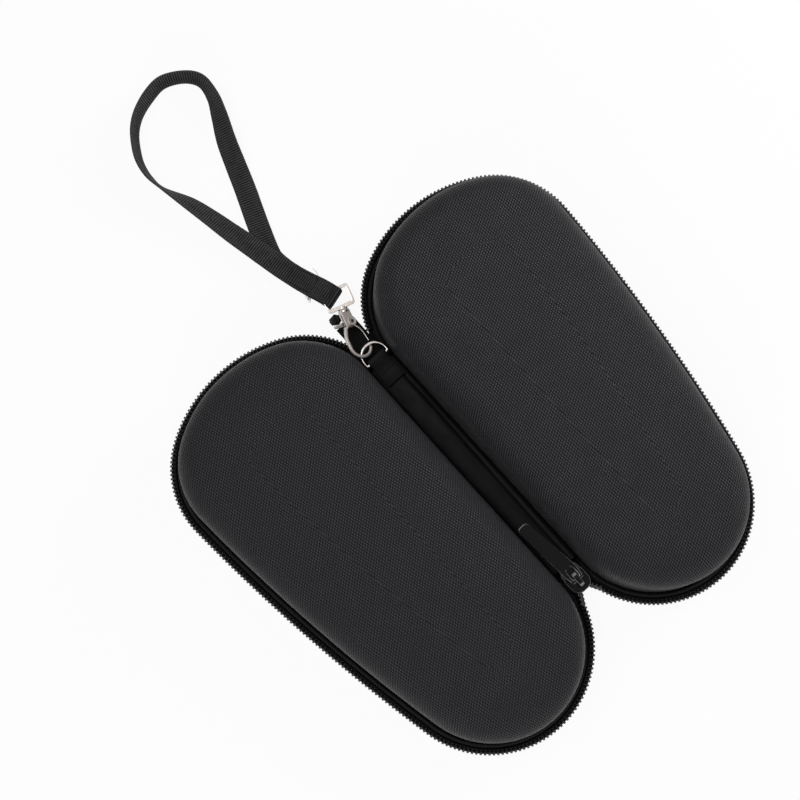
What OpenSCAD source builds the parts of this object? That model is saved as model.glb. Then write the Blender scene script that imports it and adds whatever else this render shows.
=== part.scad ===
// Zippered hard case in two mirror-image domed halves on a flexible spine.
// It lies open, face down: rims on the ground, domes up. Millimetres, +Z up.
// The spine runs along Y at x = 0, the wide end is at +Y, the ground is z = 0.

/* [Outline of one half] */
// Length of each half along the spine
case_length = 210; // [195:1:230]
// Width of each half, from its spine side to its outer side
half_width = 106; // [98:1:118]
// Corner radius at the wide end, next to the spine
hinge_corner_r = 42; // [36:0.5:44]
// Corner radius at the wide end, away from the spine
outer_corner_r = 40.5; // [36:0.5:44]
// Radius of the round narrow end
narrow_end_r = 44.7; // [42:0.1:46]
// Radius of the crowned wide end
end_crown_r = 66.7; // [60:0.1:90]
// Radius of the slightly bowed outer side
side_crown_r = 828; // [600:1:1200]
// From the spine's centre line to the outline's straight side
edge_gap = 2; // [1.8:0.1:2.4]
// From the outline to the foot of the domed wall
wall_inset = 5.1; // [4.9:0.1:5.6]

/* [Dome] */
// Height of the domes above the ground
dome_height = 30; // [26:0.5:36]
// Radius of the shoulder between wall and top
dome_fillet = 11; // [9:0.5:12]
// Lean of the wall from upright, in degrees
wall_draft = 3; // [2:0.5:4]
// Thickness of the woven cover
cover_t = 0.8; // [0.6:0.1:1.2]
// Thickness of the moulded foam shell
foam_t = 3; // [2.5:0.1:4]
// Thickness of the fabric lining
lining_t = 0.6; // [0.4:0.1:1]

/* [Zip] */
// Thickness of the zip tape
tape_t = 0.6; // [0.4:0.1:0.8]
// Width of the tape ring
tape_w = 5.5; // [5:0.1:6]
// Width of the coil of zip teeth
coil_w = 2.6; // [2.2:0.1:2.8]
// Height of the coil above the tape
coil_h = 2.2; // [1.8:0.1:2.4]
// Width of the piping between coil and wall
piping_w = 2.1; // [1.8:0.1:2.2]
// From the wide end back to where the zip stops
zip_wide_inset = 25; // [21:0.5:25.5]
// From the slider's front to where the zip parts to the two halves
zip_fork_gap = 4; // [4:0.5:8]

/* [Spine] */
// Thickness of the leather-like outside of the spine
spine_t = 0.8; // [0.6:0.1:1]
// Thickness of the spine's inner lining
spine_lining_t = 0.3; // [0.2:0.1:0.4]
// From the wide end of the case back to the spine's end
spine_wide_inset = 44.5; // [41:0.5:46]
// From the narrow end of the case back to the spine's end
spine_narrow_inset = 48.3; // [48.3:0.1:51]
// Height of the fold lines above the ground
fold_z = 1.8; // [1.7:0.1:2]

/* [Slider] */
// Length of the slider
slider_l = 13; // [12:0.5:13]
// Width of the slider across its shoulders
slider_w = 9.6; // [9.2:0.1:10]
// Thickness of the slider's plates
plate_t = 1; // [0.8:0.1:1.1]
// Width of the bridge over the slider
bridge_w = 2.2; // [1.8:0.1:2.6]
// Length of the puller, from its pivot to its free end
puller_l = 32.5; // [28:0.5:36]
// Width of the puller at its free end
puller_tip_w = 5.8; // [5:0.1:6.4]
// Width of the puller beside the bridge
puller_root_w = 7.4; // [7.2:0.1:8]
// Thickness of the puller
puller_t = 1.4; // [1.2:0.1:1.6]
// Rest angle of the puller, falling towards the spine
puller_dip = 4; // [3.6:0.1:4.4]

/* [Ring and tabs] */
// Wire diameter of the D-ring
ring_wire = 1.3; // [1.2:0.1:1.5]
// Radius of the D-ring's bow at the middle of the wire
ring_r = 5.9; // [5.6:0.1:6]
// Width of the tab that holds the ring
ring_tab_w = 9.4; // [8:0.1:9.6]
// Length of the tab that holds the ring
ring_tab_l = 13; // [10:0.5:16]
// Width of the grab tab at the wide end
grab_tab_w = 9.8; // [8:0.1:10]
// How far the grab tab reaches past the spine's end
grab_tab_reach = 24.5; // [20:0.5:25.5]

/* [Clasp and strap] */
// Wire thickness of the clasp's hook
hook_wire = 1.3; // [1.2:0.1:1.4]
// Width of the hook inside
hook_gap = 9; // [8.8:0.1:9.4]
// Length of the hook inside, from its bow to the clasp body
hook_reach = 13.6; // [13.4:0.1:14.4]
// Width of the clasp body
clasp_body_w = 5.4; // [5:0.1:6]
// Length of the clasp body
clasp_body_l = 8.6; // [8.4:0.1:9.2]
// Thickness of the clasp body
clasp_t = 2.6; // [2.4:0.1:3]
// Diameter of the pin that carries the gate
gate_pin_d = 1.4; // [1.2:0.1:1.6]
// Width of the strap eye inside
eye_gap = 10.8; // [10.4:0.1:11.4]
// Length of the strap eye inside
eye_reach = 7; // [6.8:0.1:7.4]
// Turn of the clasp away from the spine's direction, in degrees
clasp_turn = -16; // [-18:1:-14]
// Width of the wrist strap's webbing
webbing_w = 10; // [9:0.5:10]
// Thickness of the webbing
webbing_t = 1.2; // [1:0.1:1.6]

/* [Inside] */
// How far along Y the mesh pocket reaches from the narrow end
pocket_end = 8; // [-10:1:20]
// Thickness of the pocket's mesh
pocket_t = 0.7; // [0.5:0.1:1]
// Diameter of the elastic in the pocket's hem
hem_d = 2.6; // [2:0.1:3]
// Width of the elastic band that holds the contents
band_w = 25; // [15:1:38]
// Thickness of the elastic band
band_t = 1.2; // [0.8:0.1:1.6]

/* [Hidden] */

// Clearances
layer_gap = 0.1;
part_gap = 0.3;
side_gap = 0.2;
bore_gap = 0.05;
smooth = 96;
fine = 32;
side_smooth = 720;
// Neighbouring sweeps lap by a little, with the corner's section a hair smaller
lap = 0.5;
nest = 0.05;

// Ends of the spine, slider and zip along Y
spine_end_wide = case_length / 2 - spine_wide_inset;
spine_end_narrow = case_length / 2 - spine_narrow_inset;
slider_back = -spine_end_narrow - part_gap;
slider_front = slider_back - slider_l;
zip_end_wide = case_length / 2 - zip_wide_inset;
zip_end_narrow = zip_fork_gap - slider_front;

// Centres of the outline's arcs, for the right half
crown_a = end_crown_r - hinge_corner_r;
crown_b = end_crown_r - outer_corner_r;
corner_span = half_width - hinge_corner_r - outer_corner_r;
crown_x = (pow(crown_a, 2) - pow(crown_b, 2) + pow(corner_span, 2)) / (2 * corner_span);
crown_drop = sqrt(pow(crown_a, 2) - pow(crown_x, 2));
corner_y = case_length / 2 - end_crown_r + crown_drop;
hinge_corner = [edge_gap + hinge_corner_r, corner_y];
outer_corner = [edge_gap + half_width - outer_corner_r, corner_y];
narrow_end = [edge_gap + narrow_end_r, narrow_end_r - case_length / 2];
end_crown = [hinge_corner[0] + crown_x, corner_y - crown_drop];
side_crown = enclosing_centre(outer_corner, outer_corner_r, narrow_end, narrow_end_r, side_crown_r);
hinge_crown_angle = heading(end_crown, hinge_corner);
outer_crown_angle = heading(end_crown, outer_corner);
side_top_angle = heading(side_crown, outer_corner);
side_low_angle = heading(side_crown, narrow_end);
zip_wide_angle = 180 - asin((zip_end_wide - corner_y) / hinge_corner_r);
zip_narrow_angle = asin((zip_end_narrow + narrow_end[1]) / narrow_end_r) - 180;

// Levels and the shoulder's centre in the wall's own section
foot_z = tape_t + layer_gap;
shoulder_z = dome_height - dome_fillet;
shoulder_foot_z = shoulder_z + dome_fillet * sin(wall_draft);
shoulder_x = -wall_inset - shoulder_foot_z * tan(wall_draft) - dome_fillet * cos(wall_draft);
plate_lap = 2;
foam_depth = cover_t + layer_gap;
lining_depth = foam_depth + foam_t + layer_gap;
shell_depth = lining_depth + lining_t;
fold_x = edge_gap + wall_inset;
spine_low = fold_z + layer_gap;
spine_mid = spine_low + spine_lining_t;
spine_top = spine_mid + layer_gap + spine_t;
spine_half_w = fold_x - side_gap;

// Slider, chain and puller
slider_low = 0.3;
chain_low = slider_low + plate_t + part_gap;
chain_h = 1.8;
slider_roof = chain_low + chain_h + part_gap;
slider_top = slider_roof + plate_t;
chain_front = -zip_end_narrow + part_gap;
puller_z = slider_top + puller_t / 2 + 0.75;
puller_y = slider_back - 7.4;
puller_x = -1;
bridge_l = 6.6;
bridge_wall = 1.2;
bridge_top = puller_z + puller_t / 2 + part_gap + bridge_wall;

// Ring and its tab
ring_z = spine_top + layer_gap + 1.7;
ring_y = spine_end_wide + 2.7;
ring_leg = 1.6;
tab_fold_r = 2.1;

// The clasp hangs on the bow of the ring; its own axis runs along +Y of its frame
clasp_roll = 32;
clasp_place = [-1.9, ring_y + 9.1, ring_z + 0.9];
body_foot = hook_reach - hook_gap / 2;
pin_x = 0.9;
pin_y = body_foot + 2.3;
boss_r = 2;
neck_y = body_foot + clasp_body_l;
neck_r = 1.3;
neck_head_r = 2;
neck_head_t = 1;
base_bar = 1.8;
eye_y = neck_y + 0.2;
slot_h = 1.2;
slot_back = 1.7;
slot_end = neck_y - 3.1;

// Points that the wrist strap's middle line follows from the ring's bar, each with its roll
strap_route = [
    [3.63, 31.7, 5.9, 0], [3.6, 31.8, 4.8, 0], [3.4, 32.5, 4, 0], [2.95, 34.1, 3.9, 0],
    [2.2, 36.8, 3.9, 0], [1, 40.8, 3, 0], [-0.3, 45.3, 1.6, 0], [-1.9, 50.8, 0.9, 0],
    [-3.4, 56.8, 0.8, 0], [-4.4, 62.8, 0.8, 0], [-4, 67.8, 0.9, 0], [0.7, 81, 1.2, 4],
    [7, 96.8, 1.6, 9], [11.2, 108.3, 2.2, 16], [15.5, 119.7, 3, 26], [20.6, 130.4, 3.8, 42],
    [24, 138.7, 4.6, 58], [24.8, 147.5, 5, 70], [20.2, 154, 5.2, 79], [11.5, 158.5, 5.2, 79],
    [3, 157.7, 5.2, 77], [-6.1, 154.3, 5.2, 80], [-12.6, 149.2, 5.2, 80], [-17.7, 141.8, 5.1, 76],
    [-20.4, 135.6, 4.9, 70], [-21.4, 128.4, 4.4, 56], [-20.4, 121.1, 3.6, 38],
    [-15.8, 107.8, 2.9, 24], [-13, 96.8, 2.4, 12], [-10.6, 85.8, 2.4, 6], [-8.2, 75.8, 2.4, 2],
    [-6.1, 66.8, 2.3, 0], [-4.1, 58.3, 2.2, 0], [-2.2, 51.3, 2.7, 0], [-0.3, 45.3, 4.1, 0],
    [1, 40.8, 6.8, 0], [2.2, 36.8, 7.9, 0], [2.95, 34.1, 8, 0], [3.4, 32.5, 8, 0],
    [3.6, 31.8, 7.1, 0], [3.63, 31.7, 6.1, 0]];
strap_steps = 2;

// Angle of the line from one point to another
function heading(from, to) = atan2(to[1] - from[1], to[0] - from[0]);

// Centre of the big circle that two smaller ones touch from inside
function enclosing_centre(p, rp, q, rq, big) =
    let (span = norm(q - p))
    let (along = (pow(big - rp, 2) - pow(big - rq, 2) + pow(span, 2)) / (2 * span))
    let (off = sqrt(pow(big - rp, 2) - pow(along, 2)))
    let (dir = (q - p) / span)
    p + dir * along + [dir[1], -dir[0]] * off;

// Point at a radius and an angle from a centre
function polar(centre, r, angle) = centre + r * [cos(angle), sin(angle)];

// Smooth curve through four neighbouring points
function spline(a, b, c, d, t) =
    0.5 * (2 * b + (c - a) * t + (2 * a - 5 * b + 4 * c - d) * t * t
    + (3 * b - a - 3 * c + d) * t * t * t);

// The strap route with steps between its points
function route_at(route, i) = route[max(0, min(len(route) - 1, i))];
function fine_route(route, steps) = concat(
    [for (i = [0 : len(route) - 2]) for (k = [0 : steps - 1])
        spline(route_at(route, i - 1), route[i], route[i + 1], route_at(route, i + 2), k / steps)],
    [route[len(route) - 1]]);

// One swept piece of a rim: the children are its section, +X outwards and +Y up
module arc_sweep(centre, r, from, to, count) {
    extra = lap / r * 180 / PI;
    translate([centre[0], centre[1], 0])
    rotate([0, 0, from - extra])
    rotate_extrude(angle = to - from + 2 * extra, $fn = count)
    translate([r, 0])
    children();
}

// The section swept along the zip's path, or all the way round with the spine side
module rim_sweep(closed) {
    low = closed ? -180 : zip_narrow_angle;
    high = closed ? 180 : zip_wide_angle;
    arc_sweep(narrow_end, narrow_end_r, low, side_low_angle, smooth, $inner = nest) children();
    arc_sweep(side_crown, side_crown_r, side_low_angle, side_top_angle, side_smooth, $inner = 0)
    children();
    arc_sweep(outer_corner, outer_corner_r, side_top_angle, outer_crown_angle, smooth, $inner = nest)
    children();
    arc_sweep(end_crown, end_crown_r, outer_crown_angle, hinge_crown_angle, smooth * 2, $inner = 0)
    children();
    arc_sweep(hinge_corner, hinge_corner_r, hinge_crown_angle, high, smooth, $inner = nest)
    children();
    if (closed) {
        straight_sweep($inner = 0) children();
    }
}

// The section swept along the straight side, beside the spine
module straight_sweep() {
    translate([edge_gap, narrow_end[1] - lap, 0])
    rotate([90, 0, 180])
    linear_extrude(height = corner_y - narrow_end[1] + 2 * lap)
    children();
}

// The flat area inside the outline, pulled in all round by an inset
module outline_area(inset) {
    polygon([
        [edge_gap + inset, narrow_end[1]],
        polar(narrow_end, narrow_end_r - inset, side_low_angle),
        polar(outer_corner, outer_corner_r - inset, side_top_angle),
        polar(outer_corner, outer_corner_r - inset, outer_crown_angle),
        polar(hinge_corner, hinge_corner_r - inset, hinge_crown_angle),
        [edge_gap + inset, corner_y]]);
    translate(hinge_corner) circle(r = hinge_corner_r - inset, $fn = smooth);
    translate(outer_corner) circle(r = outer_corner_r - inset, $fn = smooth);
    translate(narrow_end) circle(r = narrow_end_r - inset, $fn = smooth);
    crown_segment(end_crown, end_crown_r - inset, outer_crown_angle, hinge_crown_angle, smooth * 2);
    crown_segment(side_crown, side_crown_r - inset, side_low_angle, side_top_angle, side_smooth);
}

// The sliver between a chord and its arc
module crown_segment(centre, r, from, to, count) {
    middle = (from + to) / 2;
    beyond = r * (1 - cos((to - from) / 2)) + 1;
    intersection() {
        translate(centre) circle(r = r, $fn = count);
        polygon([
            polar(centre, r, from),
            polar(centre, r, from) + polar([0, 0], beyond, middle),
            polar(centre, r, to) + polar([0, 0], beyond, middle),
            polar(centre, r, to)]);
    }
}

// Section of the dome under a surface that lies a depth inside the outer one
module dome_section(depth, foot) {
    reach = shoulder_x - plate_lap - 1;
    polygon([
        [reach, foot],
        [-wall_inset - depth / cos(wall_draft) - foot * tan(wall_draft), foot],
        [shoulder_x + (dome_fillet - depth) * cos(wall_draft),
            shoulder_z + (dome_fillet - depth) * sin(wall_draft)],
        [shoulder_x, dome_height - depth],
        [reach, dome_height - depth]]);
    translate([shoulder_x, shoulder_z]) circle(r = dome_fillet - depth, $fn = smooth);
}

// One closed layer of a half: its wall and shoulder swept round, and its flat top
module dome_layer(depth, thickness) {
    rim_sweep(true)
    intersection() {
        difference() {
            dome_section(depth + $inner, foot_z + $inner);
            dome_section(depth + thickness - $inner, foot_z - 1);
        }
        translate([shoulder_x - plate_lap, 0])
        square([-shoulder_x + plate_lap, dome_height]);
    }
    translate([0, 0, dome_height - depth - thickness])
    linear_extrude(height = thickness)
    outline_area(-shoulder_x + plate_lap / 2);
}

// Piping between the zip and the wall: a round-topped cord of folded fabric
module piping_ring() {
    half = piping_w / 2;
    middle = -wall_inset + layer_gap + half;
    rim_sweep(false) {
        translate([middle - half + $inner, foot_z + $inner])
        square([piping_w - 2 * $inner, 1.2 - $inner]);
        translate([middle, foot_z + 1.2]) circle(r = half - $inner, $fn = fine);
    }
}

module tape_ring() {
    rim_sweep(false)
    translate([-coil_w / 4 - tape_w + $inner, $inner])
    square([tape_w - 2 * $inner, tape_t - 2 * $inner]);
}

// The coil of teeth, as the bevelled bar that it fills
module coil_ring() {
    bevel = coil_h / 3;
    rim_sweep(false) {
        right = -$inner;
        left = $inner - coil_w;
        low = foot_z + $inner;
        high = foot_z + coil_h - $inner;
        polygon([
            [left + bevel, low], [right - bevel, low], [right, low + bevel], [right, high - bevel],
            [right - bevel, high], [left + bevel, high], [left, high - bevel], [left, low + bevel]]);
    }
}

module on_left() {
    mirror([1, 0, 0]) children();
}

module left_cover() {
    color([0.165, 0.165, 0.175]) on_left() dome_layer(0, cover_t);
}

module right_cover() {
    color([0.165, 0.165, 0.175]) dome_layer(0, cover_t);
}

module left_foam_shell() {
    color([0.1, 0.1, 0.105]) on_left() dome_layer(foam_depth, foam_t);
}

module right_foam_shell() {
    color([0.1, 0.1, 0.105]) dome_layer(foam_depth, foam_t);
}

module left_lining() {
    color([0.13, 0.13, 0.135]) on_left() dome_layer(lining_depth, lining_t);
}

module right_lining() {
    color([0.13, 0.13, 0.135]) dome_layer(lining_depth, lining_t);
}

module left_piping() {
    color([0.1, 0.1, 0.105]) on_left() piping_ring();
}

module right_piping() {
    color([0.1, 0.1, 0.105]) piping_ring();
}

module left_zip_tape() {
    color([0.07, 0.07, 0.075]) on_left() tape_ring();
}

module right_zip_tape() {
    color([0.07, 0.07, 0.075]) tape_ring();
}

module left_zip_coil() {
    color([0.05, 0.05, 0.055]) on_left() coil_ring();
}

module right_zip_coil() {
    color([0.05, 0.05, 0.055]) coil_ring();
}

// The pocket's net, stretched across the mouth of the left half's narrow end
module mesh_pocket() {
    inset = wall_inset + shell_depth + 1;
    color([0.12, 0.12, 0.125])
    on_left()
    translate([0, 0, foot_z + 2])
    linear_extrude(height = pocket_t)
    intersection() {
        outline_area(inset);
        translate([0, -case_length])
        square([half_width * 2, case_length + pocket_end - hem_d / 2 - layer_gap]);
    }
}

// Elastic cord in the hem along the pocket's open edge
module pocket_elastic() {
    inset = wall_inset + shell_depth + 1;
    low = edge_gap + inset;
    width = side_crown[0] + sqrt(pow(side_crown_r - inset, 2) - pow(pocket_end - side_crown[1], 2)) - low;
    color([0.09, 0.09, 0.095])
    on_left()
    translate([low, pocket_end, foot_z + 2 + pocket_t / 2])
    rotate([0, 90, 0])
    cylinder(h = width, d = hem_d, $fn = fine);
}

// Elastic band sewn across the right half to hold what lies in it
module elastic_band() {
    inset = wall_inset + shell_depth + 1;
    color([0.08, 0.08, 0.085])
    translate([0, 0, foot_z + 2])
    linear_extrude(height = band_t)
    intersection() {
        outline_area(inset);
        translate([0, -band_w / 2]) square([half_width * 2, band_w]);
    }
}

module spine_strip(low, thickness, half_w) {
    translate([-half_w, -spine_end_narrow, low])
    cube([half_w * 2, spine_end_narrow + spine_end_wide, thickness]);
}

module spine_cover() {
    color([0.1, 0.1, 0.1]) spine_strip(spine_mid + layer_gap, spine_t, spine_half_w);
}

module spine_lining() {
    color([0.13, 0.13, 0.135]) spine_strip(spine_low, spine_lining_t, spine_half_w);
}

// Folded tab sewn to the spine, with the ring's bar in its fold
module ring_tab() {
    low = spine_top + layer_gap;
    color([0.11, 0.11, 0.11])
    difference() {
        union() {
            translate([-ring_tab_w / 2, ring_y - ring_tab_l, low])
            cube([ring_tab_w, ring_tab_l - tab_fold_r / 2, 2]);
            translate([-ring_tab_w / 2, ring_y, ring_z])
            rotate([0, 90, 0])
            cylinder(h = ring_tab_w, r = tab_fold_r, $fn = smooth);
        }
        translate([-ring_tab_w / 2 - 1, ring_y, ring_z])
        rotate([0, 90, 0])
        cylinder(h = ring_tab_w + 2, d = ring_wire + part_gap, $fn = smooth);
    }
}

// Webbing tab under the spine's wide end, to hold the case by while zipping
module grab_tab() {
    tab_t = 1.1;
    sewn_l = 12;
    color([0.09, 0.095, 0.09])
    translate([-grab_tab_w / 2, spine_end_wide - sewn_l, spine_low - layer_gap - tab_t])
    cube([grab_tab_w, grab_tab_reach + sewn_l, tab_t]);
}

// The two strands of the chain inside the slider, meshed behind its wedge
module chain_end() {
    outer = slider_w / 2 - 0.9;
    inner = 1.4;
    color([0.05, 0.05, 0.055])
    translate([0, 0, chain_low])
    linear_extrude(height = chain_h)
    polygon([
        [-2.4, slider_back], [2.4, slider_back], [outer, slider_back - 6], [outer, chain_front],
        [inner, chain_front], [inner, slider_back - 7], [0, slider_back - 5.6],
        [-inner, slider_back - 7], [-inner, chain_front], [-outer, chain_front],
        [-outer, slider_back - 6]]);
}

// Outline of the slider's plates: wide shoulders in front, a narrow throat behind
module slider_plate() {
    corner = 2;
    throat = slider_w / 2 - 0.6;
    shoulder = slider_w / 2;
    polygon([
        [-throat + corner, slider_back], [throat - corner, slider_back],
        [throat, slider_back - corner], [shoulder, slider_back - 5],
        [shoulder, slider_front + corner], [shoulder - corner, slider_front],
        [corner - shoulder, slider_front], [-shoulder, slider_front + corner],
        [-shoulder, slider_back - 5], [-throat, slider_back - corner]]);
    for (side = [-1, 1]) {
        translate([side * (throat - corner), slider_back - corner]) circle(r = corner, $fn = fine);
        translate([side * (shoulder - corner), slider_front + corner]) circle(r = corner, $fn = fine);
    }
}

module slider_body() {
    flange_t = 0.6;
    flange_h = 0.5;
    wedge_l = 2.6;
    color([0.07, 0.07, 0.075]) {
        translate([0, 0, slider_low]) linear_extrude(height = plate_t) slider_plate();
        translate([0, 0, slider_roof]) linear_extrude(height = plate_t) slider_plate();
        for (side = [-1, 1]) for (level = [slider_low + plate_t, slider_roof - flange_h]) {
            translate([side * (slider_w / 2 - flange_t / 2), slider_back - 8.5, level + flange_h / 2])
            cube([flange_t, 6, flange_h], center = true);
        }
        translate([0, 0, slider_low + plate_t])
        linear_extrude(height = slider_roof - slider_low - plate_t)
        polygon([
            [0, slider_front + 0.8 + wedge_l], [-0.9, slider_front + 1.6],
            [-0.9, slider_front + 0.4], [0.9, slider_front + 0.4], [0.9, slider_front + 1.6]]);
    }
}

// Arch on the slider's top that the puller's bar turns under
module slider_bridge() {
    color([0.07, 0.07, 0.075])
    translate([-bridge_w / 2, puller_y, slider_top + layer_gap])
    rotate([90, 0, 90])
    linear_extrude(height = bridge_w)
    difference() {
        bridge_side(bridge_l / 2, bridge_top - slider_top - layer_gap);
        translate([0, -0.1])
        bridge_side(bridge_l / 2 - bridge_wall, bridge_top - slider_top - layer_gap - bridge_wall + 0.1);
    }
}

// Side view of an arch with round shoulders, standing on its base line
module bridge_side(half, height) {
    round_r = 1.2;
    translate([-half, 0]) square([half * 2, height - round_r]);
    translate([round_r - half, 0]) square([half * 2 - round_r * 2, height]);
    for (side = [-1, 1]) {
        translate([side * (half - round_r), height - round_r]) circle(r = round_r, $fn = fine);
    }
}

// Flat puller with a window for the bridge and a round bar at its root
module zip_puller() {
    bar_w = puller_root_w - 1.2;
    window_l = 5.2;
    window_w = bridge_w + 1.2;
    root = puller_t / 2;
    tip_r = 1.6;
    tip = puller_tip_w / 2;
    color([0.08, 0.08, 0.085])
    translate([0, puller_y, puller_z])
    rotate([-puller_dip, 0, 0]) {
        translate([0, 0, -puller_t / 2])
        linear_extrude(height = puller_t)
        difference() {
            union() {
                polygon([
                    [-bar_w / 2, 0], [bar_w / 2, 0], [puller_root_w / 2, 4], [puller_root_w / 2, 7],
                    [puller_x + tip, puller_l - tip_r], [puller_x + tip - tip_r, puller_l],
                    [puller_x - tip + tip_r, puller_l], [puller_x - tip, puller_l - tip_r],
                    [-puller_root_w / 2, 7], [-puller_root_w / 2, 4]]);
                for (side = [-1, 1]) {
                    translate([puller_x + side * (tip - tip_r), puller_l - tip_r])
                    circle(r = tip_r, $fn = fine);
                }
            }
            translate([-window_w / 2, root]) square([window_w, window_l]);
        }
        translate([-bar_w / 2, 0, 0]) rotate([0, 90, 0]) cylinder(h = bar_w, d = puller_t, $fn = fine);
    }
}

// D-ring: a straight bar through the tab, two short legs and a round bow
module d_ring() {
    color([0.85, 0.83, 0.81])
    translate([0, ring_y, ring_z]) {
        translate([-ring_r, 0, 0]) rotate([0, 90, 0]) cylinder(h = ring_r * 2, d = ring_wire, $fn = fine);
        for (side = [-1, 1]) {
            translate([side * ring_r, 0, 0]) sphere(d = ring_wire, $fn = fine);
            translate([side * ring_r, 0, 0])
            rotate([-90, 0, 0])
            cylinder(h = ring_leg, d = ring_wire, $fn = fine);
        }
        translate([0, ring_leg, 0])
        rotate_extrude(angle = 180, $fn = smooth)
        translate([ring_r, 0])
        circle(d = ring_wire, $fn = fine);
    }
}

// The clasp's own frame: +Y from hook to strap, rolled so that the ring threads it
module in_clasp_frame(roll) {
    translate(clasp_place)
    rotate([0, 0, clasp_turn])
    rotate([0, roll, 0])
    children();
}

// Hook and body: the bow curls from the body's left round to the gate's seat
module clasp_hook() {
    bow_r = (hook_gap + hook_wire) / 2;
    wire_t = hook_wire;
    arm_l = body_foot - 3.4;
    half_w = clasp_body_w / 2;
    neck_half = neck_head_r + 0.5;
    web_x = -0.2;
    color([0.86, 0.83, 0.81])
    in_clasp_frame(clasp_roll)
    difference() {
        union() {
            difference() {
                rotate_extrude($fn = smooth)
                translate([bow_r, 0])
                circle(d = wire_t, $fn = fine);
                translate([-hook_gap * 2, 0, -hook_gap])
                cube([hook_gap * 4, hook_gap * 2, hook_gap * 2]);
            }
            translate([-bow_r, -nest, 0])
            rotate([-90, 0, 0])
            cylinder(h = arm_l + nest, d = wire_t - nest, $fn = fine);
            translate([0, 0, -wire_t * 0.4])
            linear_extrude(height = wire_t * 0.8)
            polygon([
                [-bow_r - 0.4, arm_l - 0.5], [-bow_r + 0.5, arm_l - 0.5], [web_x, body_foot + 0.4],
                [web_x, body_foot + 1], [web_x - half_w, body_foot + 2.2]]);
            translate([0, 0, -clasp_t / 2])
            linear_extrude(height = clasp_t) {
                polygon([
                    [-half_w, body_foot + 0.8], [0.6, body_foot], [pin_x, pin_y - boss_r],
                    [pin_x + boss_r * 0.7, pin_y + boss_r * 0.6], [neck_half, neck_y],
                    [-neck_half, neck_y], [-half_w, pin_y + 1.6]]);
                translate([pin_x, pin_y]) circle(r = boss_r, $fn = fine);
            }
        }
        translate([web_x, body_foot - 1, -slot_h / 2])
        cube([clasp_body_w, slot_end - body_foot + 1, slot_h]);
        translate([-half_w - 4, pin_y - slot_back, -slot_h / 2])
        cube([clasp_body_w + 8, slot_end - pin_y + slot_back, slot_h]);
        translate([pin_x, pin_y, -clasp_t])
        cylinder(h = clasp_t * 2, d = gate_pin_d, $fn = fine);
        translate([0, neck_y + 1, 0])
        rotate([90, 0, 0])
        cylinder(h = 2.6, r = neck_r + bore_gap, $fn = smooth);
        translate([0, neck_y - 1.4, 0])
        rotate([90, 0, 0])
        cylinder(h = neck_head_t + 0.4, r = neck_head_r + bore_gap, $fn = smooth);
    }
}

// Lever on the pin: the gate closes the hook's mouth, the thumb nub is on the other arm
module clasp_gate() {
    lever_t = slot_h - 0.3;
    bow_x = (hook_gap + hook_wire) / 2;
    wire_w = 0.9;
    knee_y = body_foot - 3;
    tip_y = hook_wire / 2 + 0.25;
    color([0.84, 0.82, 0.8])
    in_clasp_frame(clasp_roll)
    difference() {
        union() {
            translate([0, 0, -lever_t / 2])
            linear_extrude(height = lever_t) {
                translate([pin_x, pin_y]) circle(r = 1.5, $fn = fine);
                polygon([
                    [pin_x + 1.3, pin_y + 0.6], [pin_x - 0.6, pin_y - 1.3],
                    [bow_x - wire_w * 1.9, knee_y + 0.6], [bow_x - wire_w / 2, tip_y],
                    [bow_x + wire_w / 2, tip_y], [bow_x - wire_w * 0.7, knee_y + 1.2]]);
                polygon([
                    [pin_x, pin_y + 1.3], [pin_x, pin_y - 1.4],
                    [-clasp_body_w / 2 - 2.6, pin_y - 1.2], [-clasp_body_w / 2 - 2.6, pin_y + 0.3]]);
            }
            translate([-clasp_body_w / 2 - 5.6, pin_y - 1.3, -0.9]) cube([4.6, 1.7, 1.8]);
        }
        translate([pin_x, pin_y, -clasp_t])
        cylinder(h = clasp_t * 2, d = gate_pin_d + 2 * bore_gap, $fn = fine);
    }
}

module gate_pin() {
    color([0.75, 0.73, 0.72])
    in_clasp_frame(clasp_roll)
    translate([pin_x, pin_y, -clasp_t / 2])
    cylinder(h = clasp_t, d = gate_pin_d, $fn = fine);
}

// Leaf spring behind the lever, in the body's slot
module gate_spring() {
    color([0.6, 0.6, 0.6])
    in_clasp_frame(clasp_roll)
    translate([-clasp_body_w / 2 + 0.6, slot_end - 0.5, -0.3])
    cube([3.4, 0.3, 0.6]);
}

// Strap eye: a flat rectangular loop with a stub that turns in the clasp body
module strap_eye() {
    wire_w = 1.3;
    eye_t = 1.8;
    half = eye_gap / 2 + wire_w;
    color([0.86, 0.83, 0.81])
    in_clasp_frame(0) {
        translate([0, eye_y, -eye_t / 2])
        linear_extrude(height = eye_t)
        difference() {
            eye_outline(half, base_bar + eye_reach + wire_w);
            translate([-eye_gap / 2, base_bar]) square([eye_gap, eye_reach]);
        }
        translate([0, eye_y + 0.2, 0]) rotate([90, 0, 0]) cylinder(h = 1.7, r = neck_r, $fn = smooth);
        translate([0, eye_y - 1.3, 0])
        rotate([90, 0, 0])
        cylinder(h = neck_head_t + 0.5, r = neck_r, $fn = smooth);
        translate([0, neck_y - 1.6, 0])
        rotate([90, 0, 0])
        cylinder(h = neck_head_t, r = neck_head_r, $fn = smooth);
    }
}

// Rectangle with round corners, standing on its base line
module eye_outline(half, height) {
    round_r = 1.4;
    translate([-half, round_r]) square([half * 2, height - round_r * 2]);
    translate([round_r - half, 0]) square([half * 2 - round_r * 2, height]);
    for (x = [round_r - half, half - round_r]) for (y = [round_r, height - round_r]) {
        translate([x, y]) circle(r = round_r, $fn = fine);
    }
}

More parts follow.
